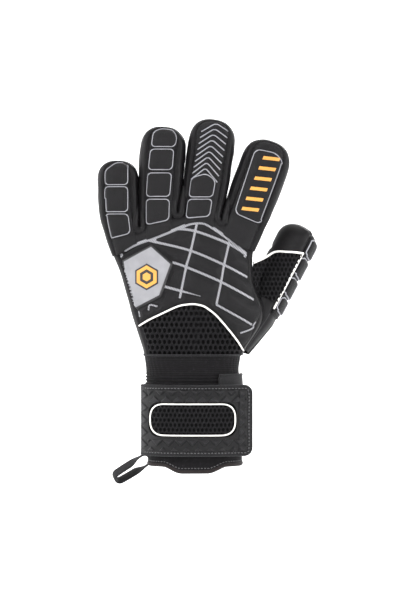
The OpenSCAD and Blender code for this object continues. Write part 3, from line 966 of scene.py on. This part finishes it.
chevrons = [chevron(k) for k in range(9)]
for name, f in fingers.items():
    prepareFinger(f)
    joints = {j["name"]: Vector(j["pos_m"]) / mm for j in frame["joints"] if j["name"].startswith(name)}
    knuckle, bend = joints[name + "_knuckle"], joints[name + "_middle_fold"]
    f["folds"] = [fingerSpot(f, knuckle.x, knuckle.z)[0], fingerSpot(f, bend.x, bend.z)[0]]
    tubePiece = fingerTube(name + "Latex", f, latex)
    liningPiece = fingerTube(name + "Lining", f, liningKnit, lift=-5)
    strip = fingerStrip(name, f, pads[name])
    under = surfaceOf([strip])
    rounding = 3.2 if name != "index" else 5
    lines = [bead("edge", under, roundedLoop(corners, rounding), 0.5, silverEdge, closed=True, lift=0.05)
             for corners in pads[name]]
    if name == "index":
        bars = join("indexBars", [gripBar(under, k) for k in range(gripBars["count"])])
    if name == "middle":
        lines += [bead("edge", under, chevronRoute(c), 0.48, silverEdge, lift=0.1) for c in chevrons]
    edges = join(name + "Edges", lines)
    halfway = fingerFrame(f, f["long"] / 2)[0]
    middle, along, _ = fingerFrame(f, fingerSpot(f, halfway.x, f["cut"])[0])
    parts = [(tubePiece, "latex"), (strip, "back"), (edges, None), (liningPiece, "lining")]
    for piece, part in parts + ([(bars, None)] if name == "index" else []):
        for half, end in zip(split(piece, (middle.x, 0, middle.y), (along.x, 0, along.y)), ("lower", "upper")):
            "hand" if end == "lower" else name + "_lower"
            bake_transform(half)
            if part:
                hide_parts(f"{name}_{end}_{part}")
            part in ("latex", "back")
            if part == "lining":
                girth, lower, upper = liningCuts[name]
print("fingers made")

# webs
webs = {"places": [(-45.6, 192.6, 4, -3), (-14.6, 204.6, 4, 6), (20.2, 198.6, 9, 13)], "radius": 3.5, "apart": 3.7}


def webRoll(name, x, z, leanLeft, leanRight):  # the palm's edge turns down between two fingers
    d = webs["apart"]
    left, right = tan(radians(leanLeft)), tan(radians(leanRight))
    flat = [(x - d + left * 20, z + 24), (x - d + left * 10, z + 14), (x - d, z + 6), (x - 0.75 * d, z + 1.6), (x, z),
            (x + 0.75 * d, z + 1.6), (x + d, z + 6), (x + d + right * 10, z + 14), (x + d + right * 20, z + 24)]
    deeps = [-5, -7.5, -9, -10, -10.4, -10, -9, -7.5, -5]
    route = smoothRoute([(p[0], y, p[1]) for p, y in zip(flat, deeps)], 0.8)
    return tube(name, route, lambda w: webs["radius"] * (0.8 + 0.2 * ease(min(w, 1 - w) * 5)), latex, sides=14,
                up=Vector((0, -1, 0.001)))


for name, (x, z, leanLeft, leanRight) in zip(("webLittleRing", "webRingMiddle", "webMiddleIndex"), webs["places"]):
    piece = webRoll(name, x, z, leanLeft, leanRight)
    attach(piece, "hand")
    if name == "webLittleRing":
        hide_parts("web_gussets")

# print on the back
backSurface = surfaceOf([wristMesh, backhand, band])
printed = [ribbon("band", backSurface, [p for p in arcLine if p.x < 41.5], 3.0, 0.75, silver,
                  taper=lambda w: 0.6 + 0.4 * ease(min(w, 1 - w) * 8))]
for key, (width, points) in printLines.items():
    route = smoothRoute(points, 1.2)
    thin = (lambda w: 1 - 0.75 * ease((w - 0.35) / 0.65)) if key == "rowD" else None
    printed.append(ribbon(key, backSurface, route, width, 0.7, silver, taper=thin))
silverPrint = join("silverPrint", printed)
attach(silverPrint, "hand")

badgeBase = patch("badgeBorder", backSurface, badge["corners"], badge["thick"], badgeBlack,
                  profile=lambda e: badge["thick"] * ease(e / 0.9) + 0.2)


def shrunk(corners, by):  # the same outline, a little smaller all round
    out = []
    for i, c in enumerate(corners):
        a, b = corners[i - 1], corners[(i + 1) % len(corners)]
        n = ((a - c).normalized() + (b - c).normalized())
        out.append(c + n.normalized() * by * 1.25)
    return out


badgeFace = patch("badgeFace", backSurface, shrunk(badge["corners"], badge["border"]), 2, badgeGrey,
                  profile=lambda e: badge["thick"] + 0.3 + 0.55 * ease(e / 0.7))
emblem = {"at": Vector((-39.3, 156)),
          "rings": [("emblemRim", 10.8, badgeBlack), ("emblemBright", 9.3, emblemOrange),
                    ("emblemDark", 6.2, badgeBlack), ("emblemCore", 3.7, emblemOrange)]}


def hexagon(at, radius):  # the emblem is plain six-sided rings, one on another
    return [at + radius * Vector((sin(k * pi / 3), cos(k * pi / 3))) for k in range(6)]


rings, under = [], surfaceOf([badgeFace])
for name, radius, material in emblem["rings"]:
    ring = patch(name, under, hexagon(emblem["at"], radius), 0.4, material, 0.5, lambda e: 0.38 * ease(e / 0.5) - 0.06)
    under = surfaceOf([ring])
    rings.append(ring)
for piece in [badgeBase, badgeFace] + rings:
    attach(piece, "hand")
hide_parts("badge")
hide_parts("badge_emblem")

pipingLine = [Vector((p.x, -handDepth(p.x, p.y, softLookUp(p.x, hand["top"], 4)) - 1.1, p.y)) for p in meshLine]
meshPiping = tube("meshPiping", pipingLine, 0.68, whitePiping, sides=10, up=Vector((0, -1, 0.01)))
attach(meshPiping, "hand")
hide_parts("mesh_piping")
print("back printed")

# thumb
thumb = {"foot": Vector((49, 12, 124)),
         "half": [(-34, 6.6), (0, 13.2), (50, 13.2), (84, 13.2)], "deep": [(-34, 7.5), (0, 15), (84, 15.4)],
         "long": 84.8, "round": 14.0, "stripFrom": 240, "stripTo": 304, "cut": 42.0, "pipingAt": 236}
turnsOf = [radians(v) for v in (28, -14, 65)]


def turnPoint(p):
    x, y, z = p
    b, a, t = turnsOf
    x, y = x * cos(t) - y * sin(t), x * sin(t) + y * cos(t)
    y, z = y * cos(a) - z * sin(a), y * sin(a) + z * cos(a)
    return Vector((x * cos(b) + z * sin(b), y, z * cos(b) - x * sin(b)))


def thumbPoint(a, s, lift=0.0):  # s runs from the foot to the tip
    r = thumb["round"]
    k = domed((s - (thumb["long"] - r)) / r)
    half, deep = lookUp(s, thumb["half"]) * k, lookUp(s, thumb["deep"]) * k
    x, y = oval(a, half, deep)
    n = Vector((signedPower(x / max(half, 0.5), 1.5), signedPower(y / max(deep, 0.5), 1.5), 1.6 * (1 - k)))
    return thumb["foot"] + turnPoint(Vector((x, y, s)) + unit(n, (0, 0, 1)) * lift)


def thumbRows(w, start):
    shoulder = thumb["long"] - thumb["round"]
    if w < 0.7:
        return mix(start, shoulder, w / 0.7)
    return shoulder + thumb["round"] * sin((w - 0.7) / 0.3 * pi / 2) ** 0.86


def thumbLift(deg, s):  # the latex rolls up beside the strip, and dips under it
    off = min(deg - thumb["stripFrom"], thumb["stripTo"] - deg)
    if off > 0 and 6 < s < thumb["long"] - 4:
        return -1.4
    gap = hypot(max(0, -off) * 0.24, max(0, s - (thumb["long"] - 4)))
    return -1.2 + 2.0 * ease(gap / 2.4)


def thumbTube(name, material, lift=None):
    def place(u, w):
        s = thumbRows(w, -30)
        h = thumbLift(360 * u, s) + noise.noise(Vector((u * 9, s * 0.08, 4))) * 0.4 if lift is None else lift
        if lift is None and 60 < 360 * u < 130:
            h -= 1.1 * exp(-((s - 58) / 1.8) ** 2) + 1.0 * exp(-((s - 14) / 2.2) ** 2)
        return thumbPoint(2 * pi * u, s, h)

    return sheet(name, 64, 84, place, material)


thumbPads = [(-6.2, 6.2, 62, 77), (-7.4, 7.4, 43.5, 59.5), (-7.6, 7.6, 25, 40.5), (-6.6, 6.6, 10, 22.5)]


def thumbStripPlace(u, w):
    s = mix(5, thumb["long"] - 3, w)
    over = max(0, s - (thumb["long"] - 12)) / 9
    spread = sqrt(max(0, 1 - min(1, over) ** 2.4))
    deg = 272 + (thumb["stripTo"] - thumb["stripFrom"]) / 2 * (2 * u - 1) * max(0.05, spread)
    across = (2 * u - 1) * 9.2 * spread
    edge = min(9.2 * spread - abs(across), (s - 5), thumb["long"] - 3 - s)
    raised = max(min(across - x0, x1 - across, s - s0, s1 - s) for x0, x1, s0, s1 in thumbPads)
    lift = -1.2 + 2.0 * ease(edge / 1.8) + 1.4 * ease((raised + 0.4) / 1.2) + 0.3 * ease(raised / 4)
    return thumbPoint(radians(deg), s, lift)


thumbLatex = thumbTube("thumbLatex", latex)
thumbLining = thumbTube("thumbLining", liningKnit, lift=-4.6)
thumbStrip = sheet("thumbStrip", 40, 110, thumbStripPlace, backFoam, out=(0.85, -0.41, -0.33))
back = turnPoint((0, -1, 0))
stripSurface = surfaceOf([thumbStrip])


def thumbLoop(x0, x1, s0, s1):
    loop = roundedLoop(v2((x0, s0), (x1, s0), (x1, s1), (x0, s1)), 3.4)
    points = [tuple(thumb["foot"] + turnPoint((p.x, 0, p.y))) for p in loop]
    route, ups = layOn(stripSurface, points, 0.05, towards=-back)
    return tube("edge", route, 0.62, silverEdge, sides=6, flat=0.8, closed=True, up=ups)


thumbEdges = join("thumbEdges", [thumbLoop(*p) for p in thumbPads])

handSideLine = smoothRoute([(57.5, 3, 130.5), (53, 0, 137), (48.8, -1.5, 145), (46, -2, 153), (45, -1, 161),
                            (46.4, 1, 167.6)], 1.0)


def rimPoint(t):
    k = t * (len(handSideLine) - 1)
    i = min(len(handSideLine) - 2, int(k))
    return handSideLine[i].lerp(handSideLine[i + 1], k - i)


def webPlace(u, w, behind=0.0):  # from the piping across the thumb's front to the hand's edge
    near = rimPoint(w)
    degs = [thumb["pipingAt"], 214, 190, 166]
    ends = [61.5, 59, 56, 52.5]
    points = [thumbPoint(radians(d), mix(13.5, e, w), 2.3) for d, e in zip(degs, ends)]
    points += [points[-1].lerp(near, 0.5) + Vector((0, 1.2 * w, -0.5)), near]
    k = u * (len(points) - 1)
    i = min(len(points) - 2, int(k))
    p = [points[max(0, min(len(points) - 1, i + j))] for j in (-1, 0, 1, 2)]
    return curveAt(p, k - i) + Vector((0, behind, 0))


def thumbMeshPlace(u, w):
    p = webPlace(u, w)
    hole = holes(p.x, p.z, smallPitch)
    # the fourth value is the hole mask, used for painted shade in the holes
    return p.x, p.y + 1.0 * hole, p.z, hole


def thumbWebPlace(u, w):  # the latex behind the mesh
    behind = mix(1.2, 5.5, ease(u / 0.7) * ease((1 - u) / 0.2 + 0.35))
    return webPlace(mix(0.35, 1, u), w, behind)


thumbMesh = sheet("thumbMesh", 90, 100, thumbMeshPlace, airMesh, out=(0, -1, 0))
thumbWeb = sheet("thumbWeb", 40, 40, thumbWebPlace, latex, out=(0, 1, 0))
rimRoute = [webPlace(k / 50, 1.0) for k in range(51)]
thumbRimRoll = tube("thumbRimRoll", rimRoute, 0.85, whitePiping, sides=10, up=Vector((0, -1, 0.01)))
pipingRoute = [thumbPoint(radians(thumb["pipingAt"]), mix(9, 62, k / 60), 1.5) for k in range(61)]
thumbPiping = tube("thumbPiping", pipingRoute, 0.8, whitePiping, sides=10, up=Vector((-0.3, -1, 0)))

lengthwise = turnPoint((0, 0, 1))


def bendThumb(piece, part):
    fold, still, moving = (("thumb_base", "hand", "thumb_lower") if part == "lower" else
                           ("thumb_middle_fold", "thumb_lower", "thumb_upper"))
    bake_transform(piece)


cutAt = thumb["foot"] + lengthwise * thumb["cut"]
for piece, lower, upper in ((thumbLatex, ["thumb_lower_latex", "thumb_collar"], ["thumb_cap"]),
                            (thumbStrip, ["thumb_lower_back"], ["thumb_upper_back"]), (thumbEdges, [], []),
                            (thumbLining, ["thumb_lower_lining"], ["thumb_upper_lining"])):
    for half, part, nodes in zip(split(piece, cutAt, lengthwise), ("lower", "upper"), (lower, upper)):
        bendThumb(half, part)
        if nodes:
            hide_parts(*nodes)
        if half.name.startswith("thumbLining"):
            0.055 if part == "lower" else 0.036
for piece in (thumbMesh, thumbWeb, thumbRimRoll, thumbPiping):
    bendThumb(piece, "lower")
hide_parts("thumb_mesh")
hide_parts("thumb_piping")
print("thumb made")

# wrist
wrist = {"deep": 24.2,
         "left": [(0, -38.4), (70, -39.5), (80, -40.6), (94, -41)],
         "right": [(0, 36.8), (70, 35.5), (80, 34.6), (94, 35.4)]}


def wristPoint(a, z, lift=0.0):
    left, right = softLookUp(z, wrist["left"]), softLookUp(z, wrist["right"])
    x, y = oval(a, (right - left) / 2 + lift, wrist["deep"] + lift)
    return Vector(((left + right) / 2 + x, y, z))


def elasticPlace(u, w):
    a, z = 2 * pi * u, mix(68.5, 94.4, w)
    gather = 0.1 * sin(a * 46 + 1.5 * sin(z * 0.3)) * ease((z - 74) / 5) * ease((93.5 - z) / 3)
    rib = 0.55 * sin(z * 2 * pi / 2.6) * ease((80 - z) / 3)
    squeeze = -0.9 * sin(pi * ease((z - 70) / 24)) + 0.5 * ease((z - 91.5) / 1.5)
    return wristPoint(a, z, 0.4 + gather + rib + squeeze)


elastic = sheet("wristElastic", 300, 44, elasticPlace, elasticKnit)
topSeam = tube("wristSeam", [wristPoint(radians(k * 4), 93.6, 0.9) for k in range(91)], 0.75, tape, sides=8,
               closed=True, up=Vector((0, 0, 1)))


def cuffFoot(a):  # level at the sides, hanging lower in the middle
    return 5.2 - 5.2 * ease((0.62 - abs(cos(a))) / 0.42)


def ripple(a, high):
    return noise.noise(Vector((cos(a) * 2.2, sin(a) * 2.2, high)))


def cuffPlace(u, w):
    a = 2 * pi * u
    z = mix(cuffFoot(a) + 1.2, 71, w)
    return wristPoint(a, z, 0.2 + ripple(a, z * 0.05) * 1.1 * ease((20 - z) / 14))


cuff = sheet("cuffTube", 180, 50, cuffPlace, cuffKnit)
thicken(cuff, 2.2)
thicken(elastic, 1.8)
hemTurns = [radians(k * 3) for k in range(121)]
hemRoute = [wristPoint(a, cuffFoot(a) + 1.2, -0.6 + ripple(a, 0.1) * 0.9) for a in hemTurns]
cuffHem = tube("cuffHem", hemRoute, 1.75, hemTape, sides=10, closed=True, up=Vector((0, 0, 1)))
cuffSurface = surfaceOf([cuff])
hemStitch = stitches("hemStitch", cuffSurface, [(p.x, p.y, p.z + 2.6) for p in hemRoute[62:119]], thread, pitch=2.6,
                     long=1.7)
carry("hand", (elastic, "wrist_elastic"), (cuff, "cuff"), (cuffHem, "cuff_hem"), (topSeam,), (hemStitch,))
print("wrist made")

# strap
strap = {"low": 14.8, "high": 69.2, "left": -44.2, "right": 43.8, "corner": 5.5, "turnAt": 18.0, "slope": 0.25,
         "half": 45.2, "deep": 31.4, "window": (-36.4, 31.2, 30.4, 55.2), "windowCorner": 7.0}


def strapY(x):
    at = min(x, strap["turnAt"])
    y = -strap["deep"] * max(0, 1 - min(1, abs(at) / strap["half"]) ** 2.5) ** 0.4
    return y + max(0, x - strap["turnAt"]) * strap["slope"]


def strapSpan(x):  # the strap's lower and upper edge, with rounded corners at its free end
    into = max(0, x - (strap["right"] - strap["corner"]))
    cut = strap["corner"] - sqrt(max(0, strap["corner"] ** 2 - into * into))
    return strap["low"] + cut, strap["high"] - cut


def triangles(t, w):  # a zigzag of raised triangles, w runs across the row
    apart = abs(2 * (t - floor(t)) - 1)
    return ease((min(1 - w - apart, w + 0.06) + 0.02) / 0.16) * ease((1 - w) / 0.1) * ease(w / 0.08 + 0.2)


def windowGap(x, z):  # outside the window by so much, below 0 in it
    x0, x1, z0, z1 = strap["window"]
    r = strap["windowCorner"]
    dx, dz = abs(x - (x0 + x1) / 2) - ((x1 - x0) / 2 - r), abs(z - (z0 + z1) / 2) - ((z1 - z0) / 2 - r)
    return hypot(max(dx, 0), max(dz, 0)) + min(0, max(dx, dz)) - r


def strapRelief(x, z):
    low, high = strapSpan(x)
    edge = min(z - low, high - z, strap["right"] - x)
    border = 0.9 * ease(edge / 0.9) - 0.5 * ease((0.55 - abs(edge - 3.1)) / 0.3)
    gap = windowGap(x, z)
    if gap < 1.2:
        return border - 2.6 * ease((1.2 - gap) / 0.8), 0.0
    raised = 0.0
    if x < -38.2:
        raised = triangles(z / 9.8 + 0.2, (x + 44) / 5.8) if 4 < z - low and high - z > 4 else 0
    elif x > 34.2 and edge > 3.6:
        raised = max(triangles(z / 7.4, (x - 34.4) / 4.4), triangles(z / 7.4 + 0.5, (43.2 - x) / 4.4))
    elif z > 56.4 and edge > 3.6:
        raised = max(triangles(x / 9.4, (z - 56.6) / 5.2), triangles(x / 9.4 + 0.5, (66.8 - z) / 5.2))
    elif z < 27.4 and edge > 3.6:
        raised = max(triangles(x / 9.4 + 0.3, (z - 16.2) / 5.2), triangles(x / 9.4 + 0.8, (27 - z) / 5.2))
    return border + 1.6 * raised, raised


def strapPlace(u, w):
    x = strap["left"] + (strap["right"] - strap["left"]) * u
    low, high = strapSpan(x)
    z = mix(low, high, w)
    h, raised = strapRelief(x, z)
    fold = -1.2 * ease((-42.4 - x) / 1.8)
    # the fourth value is the raised mask, used for painted light on the triangles
    return x, strapY(x) - h + fold + 0.5 * noise.noise(Vector((x * 0.04, 1, z * 0.05))), z, raised


flap = sheet("strapFlap", 200, 120, strapPlace, strapFace, out=(0, -1, 0))
thicken(flap, 2.6)
flapSurface = surfaceOf([flap])
x0, x1, z0, z1 = strap["window"]
windowLoop = roundedLoop(v2((x0, z0), (x1, z0), (x1, z1), (x0, z1)), 2 * strap["windowCorner"] * 0.8, 1.2)


def windowPlace(u, w):
    x = mix(x0, x1, u)
    r = strap["windowCorner"]
    into = max(0, max(x0 + r - x, x - (x1 - r)))
    cut = r - sqrt(max(0, r * r - into * into))
    z = mix(z0 + cut, z1 - cut, w)
    hole = holes(x, z, smallPitch)
    # the fourth value is the hole mask, used for painted shade in the holes
    return x, strapY(x) + 0.15 + 1.0 * hole - 0.6 * ease(-windowGap(x, z) / 3), z, hole


windowMesh = sheet("strapWindow", 170, 66, windowPlace, airMesh, out=(0, -1, 0))
windowPiping = tube("strapWindowPiping", [Vector((p.x, strapY(p.x) - 0.9, p.y)) for p in windowLoop], 0.58,
                    whitePiping, sides=10, closed=True, up=Vector((0, -1, 0.01)))
edgeLoop = [Vector((x, strapSpan(x)[0] + 1.7)) for x in range(-41, 41, 3)]
edgeLoop += v2((42, 20), (42, 40), (42, 63))
edgeLoop += [Vector((x, strapSpan(x)[1] - 1.7)) for x in range(40, -42, -3)]
strapStitch = stitches("strapStitch", flapSurface, smoothRoute(edgeLoop, 1.0), thread, pitch=2.7, long=1.8, thick=0.4)
corner, straight = strap["corner"], strap["right"] - strap["corner"]
quarter = [(corner * sin(k * pi / 12), corner * cos(k * pi / 12)) for k in range(7)]
bindingRoute = [Vector((x, 0, strapSpan(x)[0])) for x in range(-43, 38, 2)]
bindingRoute += [Vector((straight + s, 0, strap["low"] + corner - c)) for s, c in quarter]
bindingRoute += [Vector((strap["right"], 0, z)) for z in range(22, 64, 3)]
bindingRoute += [Vector((straight + c, 0, strap["high"] - corner + s)) for s, c in quarter]
bindingRoute += [Vector((x, 0, strapSpan(x)[1])) for x in range(37, -44, -2)]
bindingRoute = evenly([Vector((p.x, strapY(p.x) + 1.1, p.z)) for p in bindingRoute], 1.2)
binding = tube("strapBinding", bindingRoute, 1.25, tape, sides=10, flat=1.25, up=Vector((0, -1, 0.01)))


def baseTop(deg):  # the fixed part stands higher where its end shows
    return 77.5 - 8.5 * ease((deg - 5) / 60)


base = {"from": -62, "to": 192, "low": 16, "edgeSteps": 100}


def basePlace(u, w):
    deg = mix(base["from"], base["to"], u)
    return wristPoint(radians(deg), mix(base["low"], baseTop(deg), w), 2.4)


def baseEdgePoint(k):
    deg = mix(base["from"], base["to"], k / base["edgeSteps"])
    return wristPoint(radians(deg), baseTop(deg) + 0.1, 1.7)


def hookPlace(u, w):
    x = mix(19, 41, u)
    return x, strapY(x) + 3.0, mix(22, 62, w)


strapBase = sheet("strapBase", 150, 40, basePlace, tape)
thicken(strapBase, 1.9)
baseEdge = tube("strapBaseEdge", [baseEdgePoint(k) for k in range(base["edgeSteps"] + 1)], 1.15, tape, sides=8,
                up=Vector((0, 0, 1)))
baseEnd = tube("strapBaseEnd", [wristPoint(radians(base["from"]), z, 1.7) for z in range(16, 78, 2)], 1.1, tape,
               sides=8, up=Vector((0, -1, 0)))
loopPatch = sheet("loopPatch", 24, 20, lambda u, w: wristPoint(radians(mix(-60, -36, u)), mix(22, 62, w), 3.1), pile)
hookPatch = sheet("hookPatch", 24, 20, hookPlace, pile, out=(0, 1, 0))
carry("strap", (flap, "strap_flap"), (windowMesh, "strap_window_mesh"), (windowPiping, "strap_window_piping"),
      (strapStitch,), (binding, "strap_binding"), (hookPatch, "hook_patch"))
carry("hand", (strapBase, "strap_base"), (baseEdge,), (baseEnd,), (loopPatch, "loop_patch"))
print("strap made")

# pull loop
pull = {"at": (-45.6, -2, 6), "slope": 32, "long": 19, "root": 5.0, "gap": 7.0, "wide": 9.0, "thick": 1.7, "roll": 36}


def buildPullLoop():  # a flat tape folded back on itself
    r = pull["gap"] / 2 + pull["thick"] / 2
    c, s = cos(radians(pull["slope"])), sin(radians(pull["slope"]))
    path = [(-pull["long"] * k / 10, -r - 0.5 * sin(pi * k / 10)) for k in range(11)]
    path += [(-pull["long"] - r * sin(t * pi / 10), -r * cos(t * pi / 10)) for t in range(1, 10)]
    path += [(-pull["long"] * (1 - k / 10), r + 0.3 * sin(pi * k / 10)) for k in range(11)]
    path = [(px + pull["root"] * (1 + px / pull["long"]) if px > -pull["long"] else px, pz) for px, pz in path]
    path += [(pull["root"] + r * sin(t * pi / 10), r * cos(t * pi / 10)) for t in range(1, 10)]
    count = len(path)
    at = Vector(pull["at"])

    def place(u, w):
        i = min(count - 1, round(w * count)) if w < 1 else 0
        px, pz = path[i]
        qx, qz = path[(i + 1) % count]
        ox, oz = path[i - 1]
        dx, dz = qx - ox, qz - oz
        n = hypot(dx, dz)
        turn = 2 * pi * u
        y, out = oval(turn, pull["wide"] / 2, pull["thick"] / 2)
        px, pz = px + out * dz / n, pz - out * dx / n
        roll = radians(pull["roll"]) * ease((pull["root"] - px) / 12)
        y, pz = y * cos(roll) - pz * sin(roll), y * sin(roll) + pz * cos(roll)
        return at + Vector((px * c - pz * s, y, px * s + pz * c))

    return sheet("pullLoop", 20, count, place, tape)


pullLoop = buildPullLoop()
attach(pullLoop, "pull_loop")
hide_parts("pull_loop")
print("pull loop made")

# room, light and camera
room = {"floor": -0.062, "radius": 3.6, "bend": 0.9, "high": 5.0, "white": (0.7, 0.7, 0.705)}


def roomFinish():
    material, at = startFinish("room_white")
    soft = at.noise(3, 2)
    colour = soft.band(0.3, 0.7).blendTo(room["white"], tuple(1.01 * c for c in room["white"]))
    return closeFinish(material, at, colour, 0.9, **{"Emission Color": (1, 1, 1, 1), "Emission Strength": 0.6})


def buildRoom():  # a round floor that sweeps up into a wall on every side
    bm = bmesh.new()
    bmesh.ops.create_grid(bm, x_segments=96, y_segments=48, size=0.5)
    flat, bend = room["radius"], room["bend"]
    for v in bm.verts:
        turn = 2 * pi * (v.co.x + 0.5)
        run = (v.co.y + 0.5) * (flat + bend * pi / 2 + room["high"] - bend)
        if run < flat:
            out, z = run, 0
        elif run < flat + bend * pi / 2:
            out, z = flat + bend * sin((run - flat) / bend), bend * (1 - cos((run - flat) / bend))
        else:
            out, z = flat + bend, bend + run - flat - bend * pi / 2
        v.co = Vector((out * cos(turn), out * sin(turn), z + room["floor"]))
    bmesh.ops.remove_doubles(bm, verts=bm.verts[:], dist=1e-5)
    bmesh.ops.recalc_face_normals(bm, faces=bm.faces[:])
    if max(bm.faces, key=lambda f: -f.calc_center_median().length).normal.z < 0:
        bmesh.ops.reverse_faces(bm, faces=bm.faces[:])
    floorPiece = keep(bm, "studioFloor", roomFinish())


def lamp(name, place, aim, size, power, colour=(1, 1, 1)):
    data = bpy.data.lights.new(name, "AREA")
    data.shape, data.size, data.size_y, data.energy, data.color = "RECTANGLE", size[0], size[1], power, colour
    piece = show(name, data)
    piece.location = place
    piece.rotation_euler = (Vector(aim) - Vector(place)).to_track_quat("-Z", "Y").to_euler()


buildRoom()
world = bpy.data.worlds.new("softRoom")
bpy.context.scene.world = world
world.use_nodes = True
bpy.context.scene.view_settings.view_transform = "Standard"
backdropNode = world.node_tree.nodes["Background"]
backdropNode.inputs["Color"].default_value = (1, 1, 1, 1)
backdropNode.inputs["Strength"].default_value = 0.6
lamp("keyLamp", (-1.5, -2.3, 2.15), (0, 0, 0.15), (1.0, 1.0), 58)
lamp("sideLamp", (2.4, -1.4, 0.95), (0, 0, 0.15), (0.4, 2.2), 62)
lamp("leftLamp", (-2.6, -0.5, 0.6), (0, 0, 0.12), (0.4, 2.2), 48)
lamp("topLamp", (0, 0.5, 3.0), (0, 0, 0.15), (1.6, 1.2), 30)
lamp("palmLamp", (0.9, 2.6, 1.6), (0, 0, 0.15), (1.0, 1.0), 34)

lens = {"focal": 120, "frameHigh": 601 * 0.8 * mm, "aim": (3.6 * mm, -0.012, 137.2 * mm)}
camera = show("mainCamera", bpy.data.cameras.new("mainCamera"))
camera.data.lens = lens["focal"]
camera.data.sensor_width = 36
camera.data.clip_end = 30
camera.location = (lens["aim"][0], lens["aim"][1] - lens["frameHigh"] * lens["focal"] / 36, lens["aim"][2])
camera.rotation_euler = (pi / 2, 0, 0)
bpy.context.scene.camera = camera

print("room and camera made")
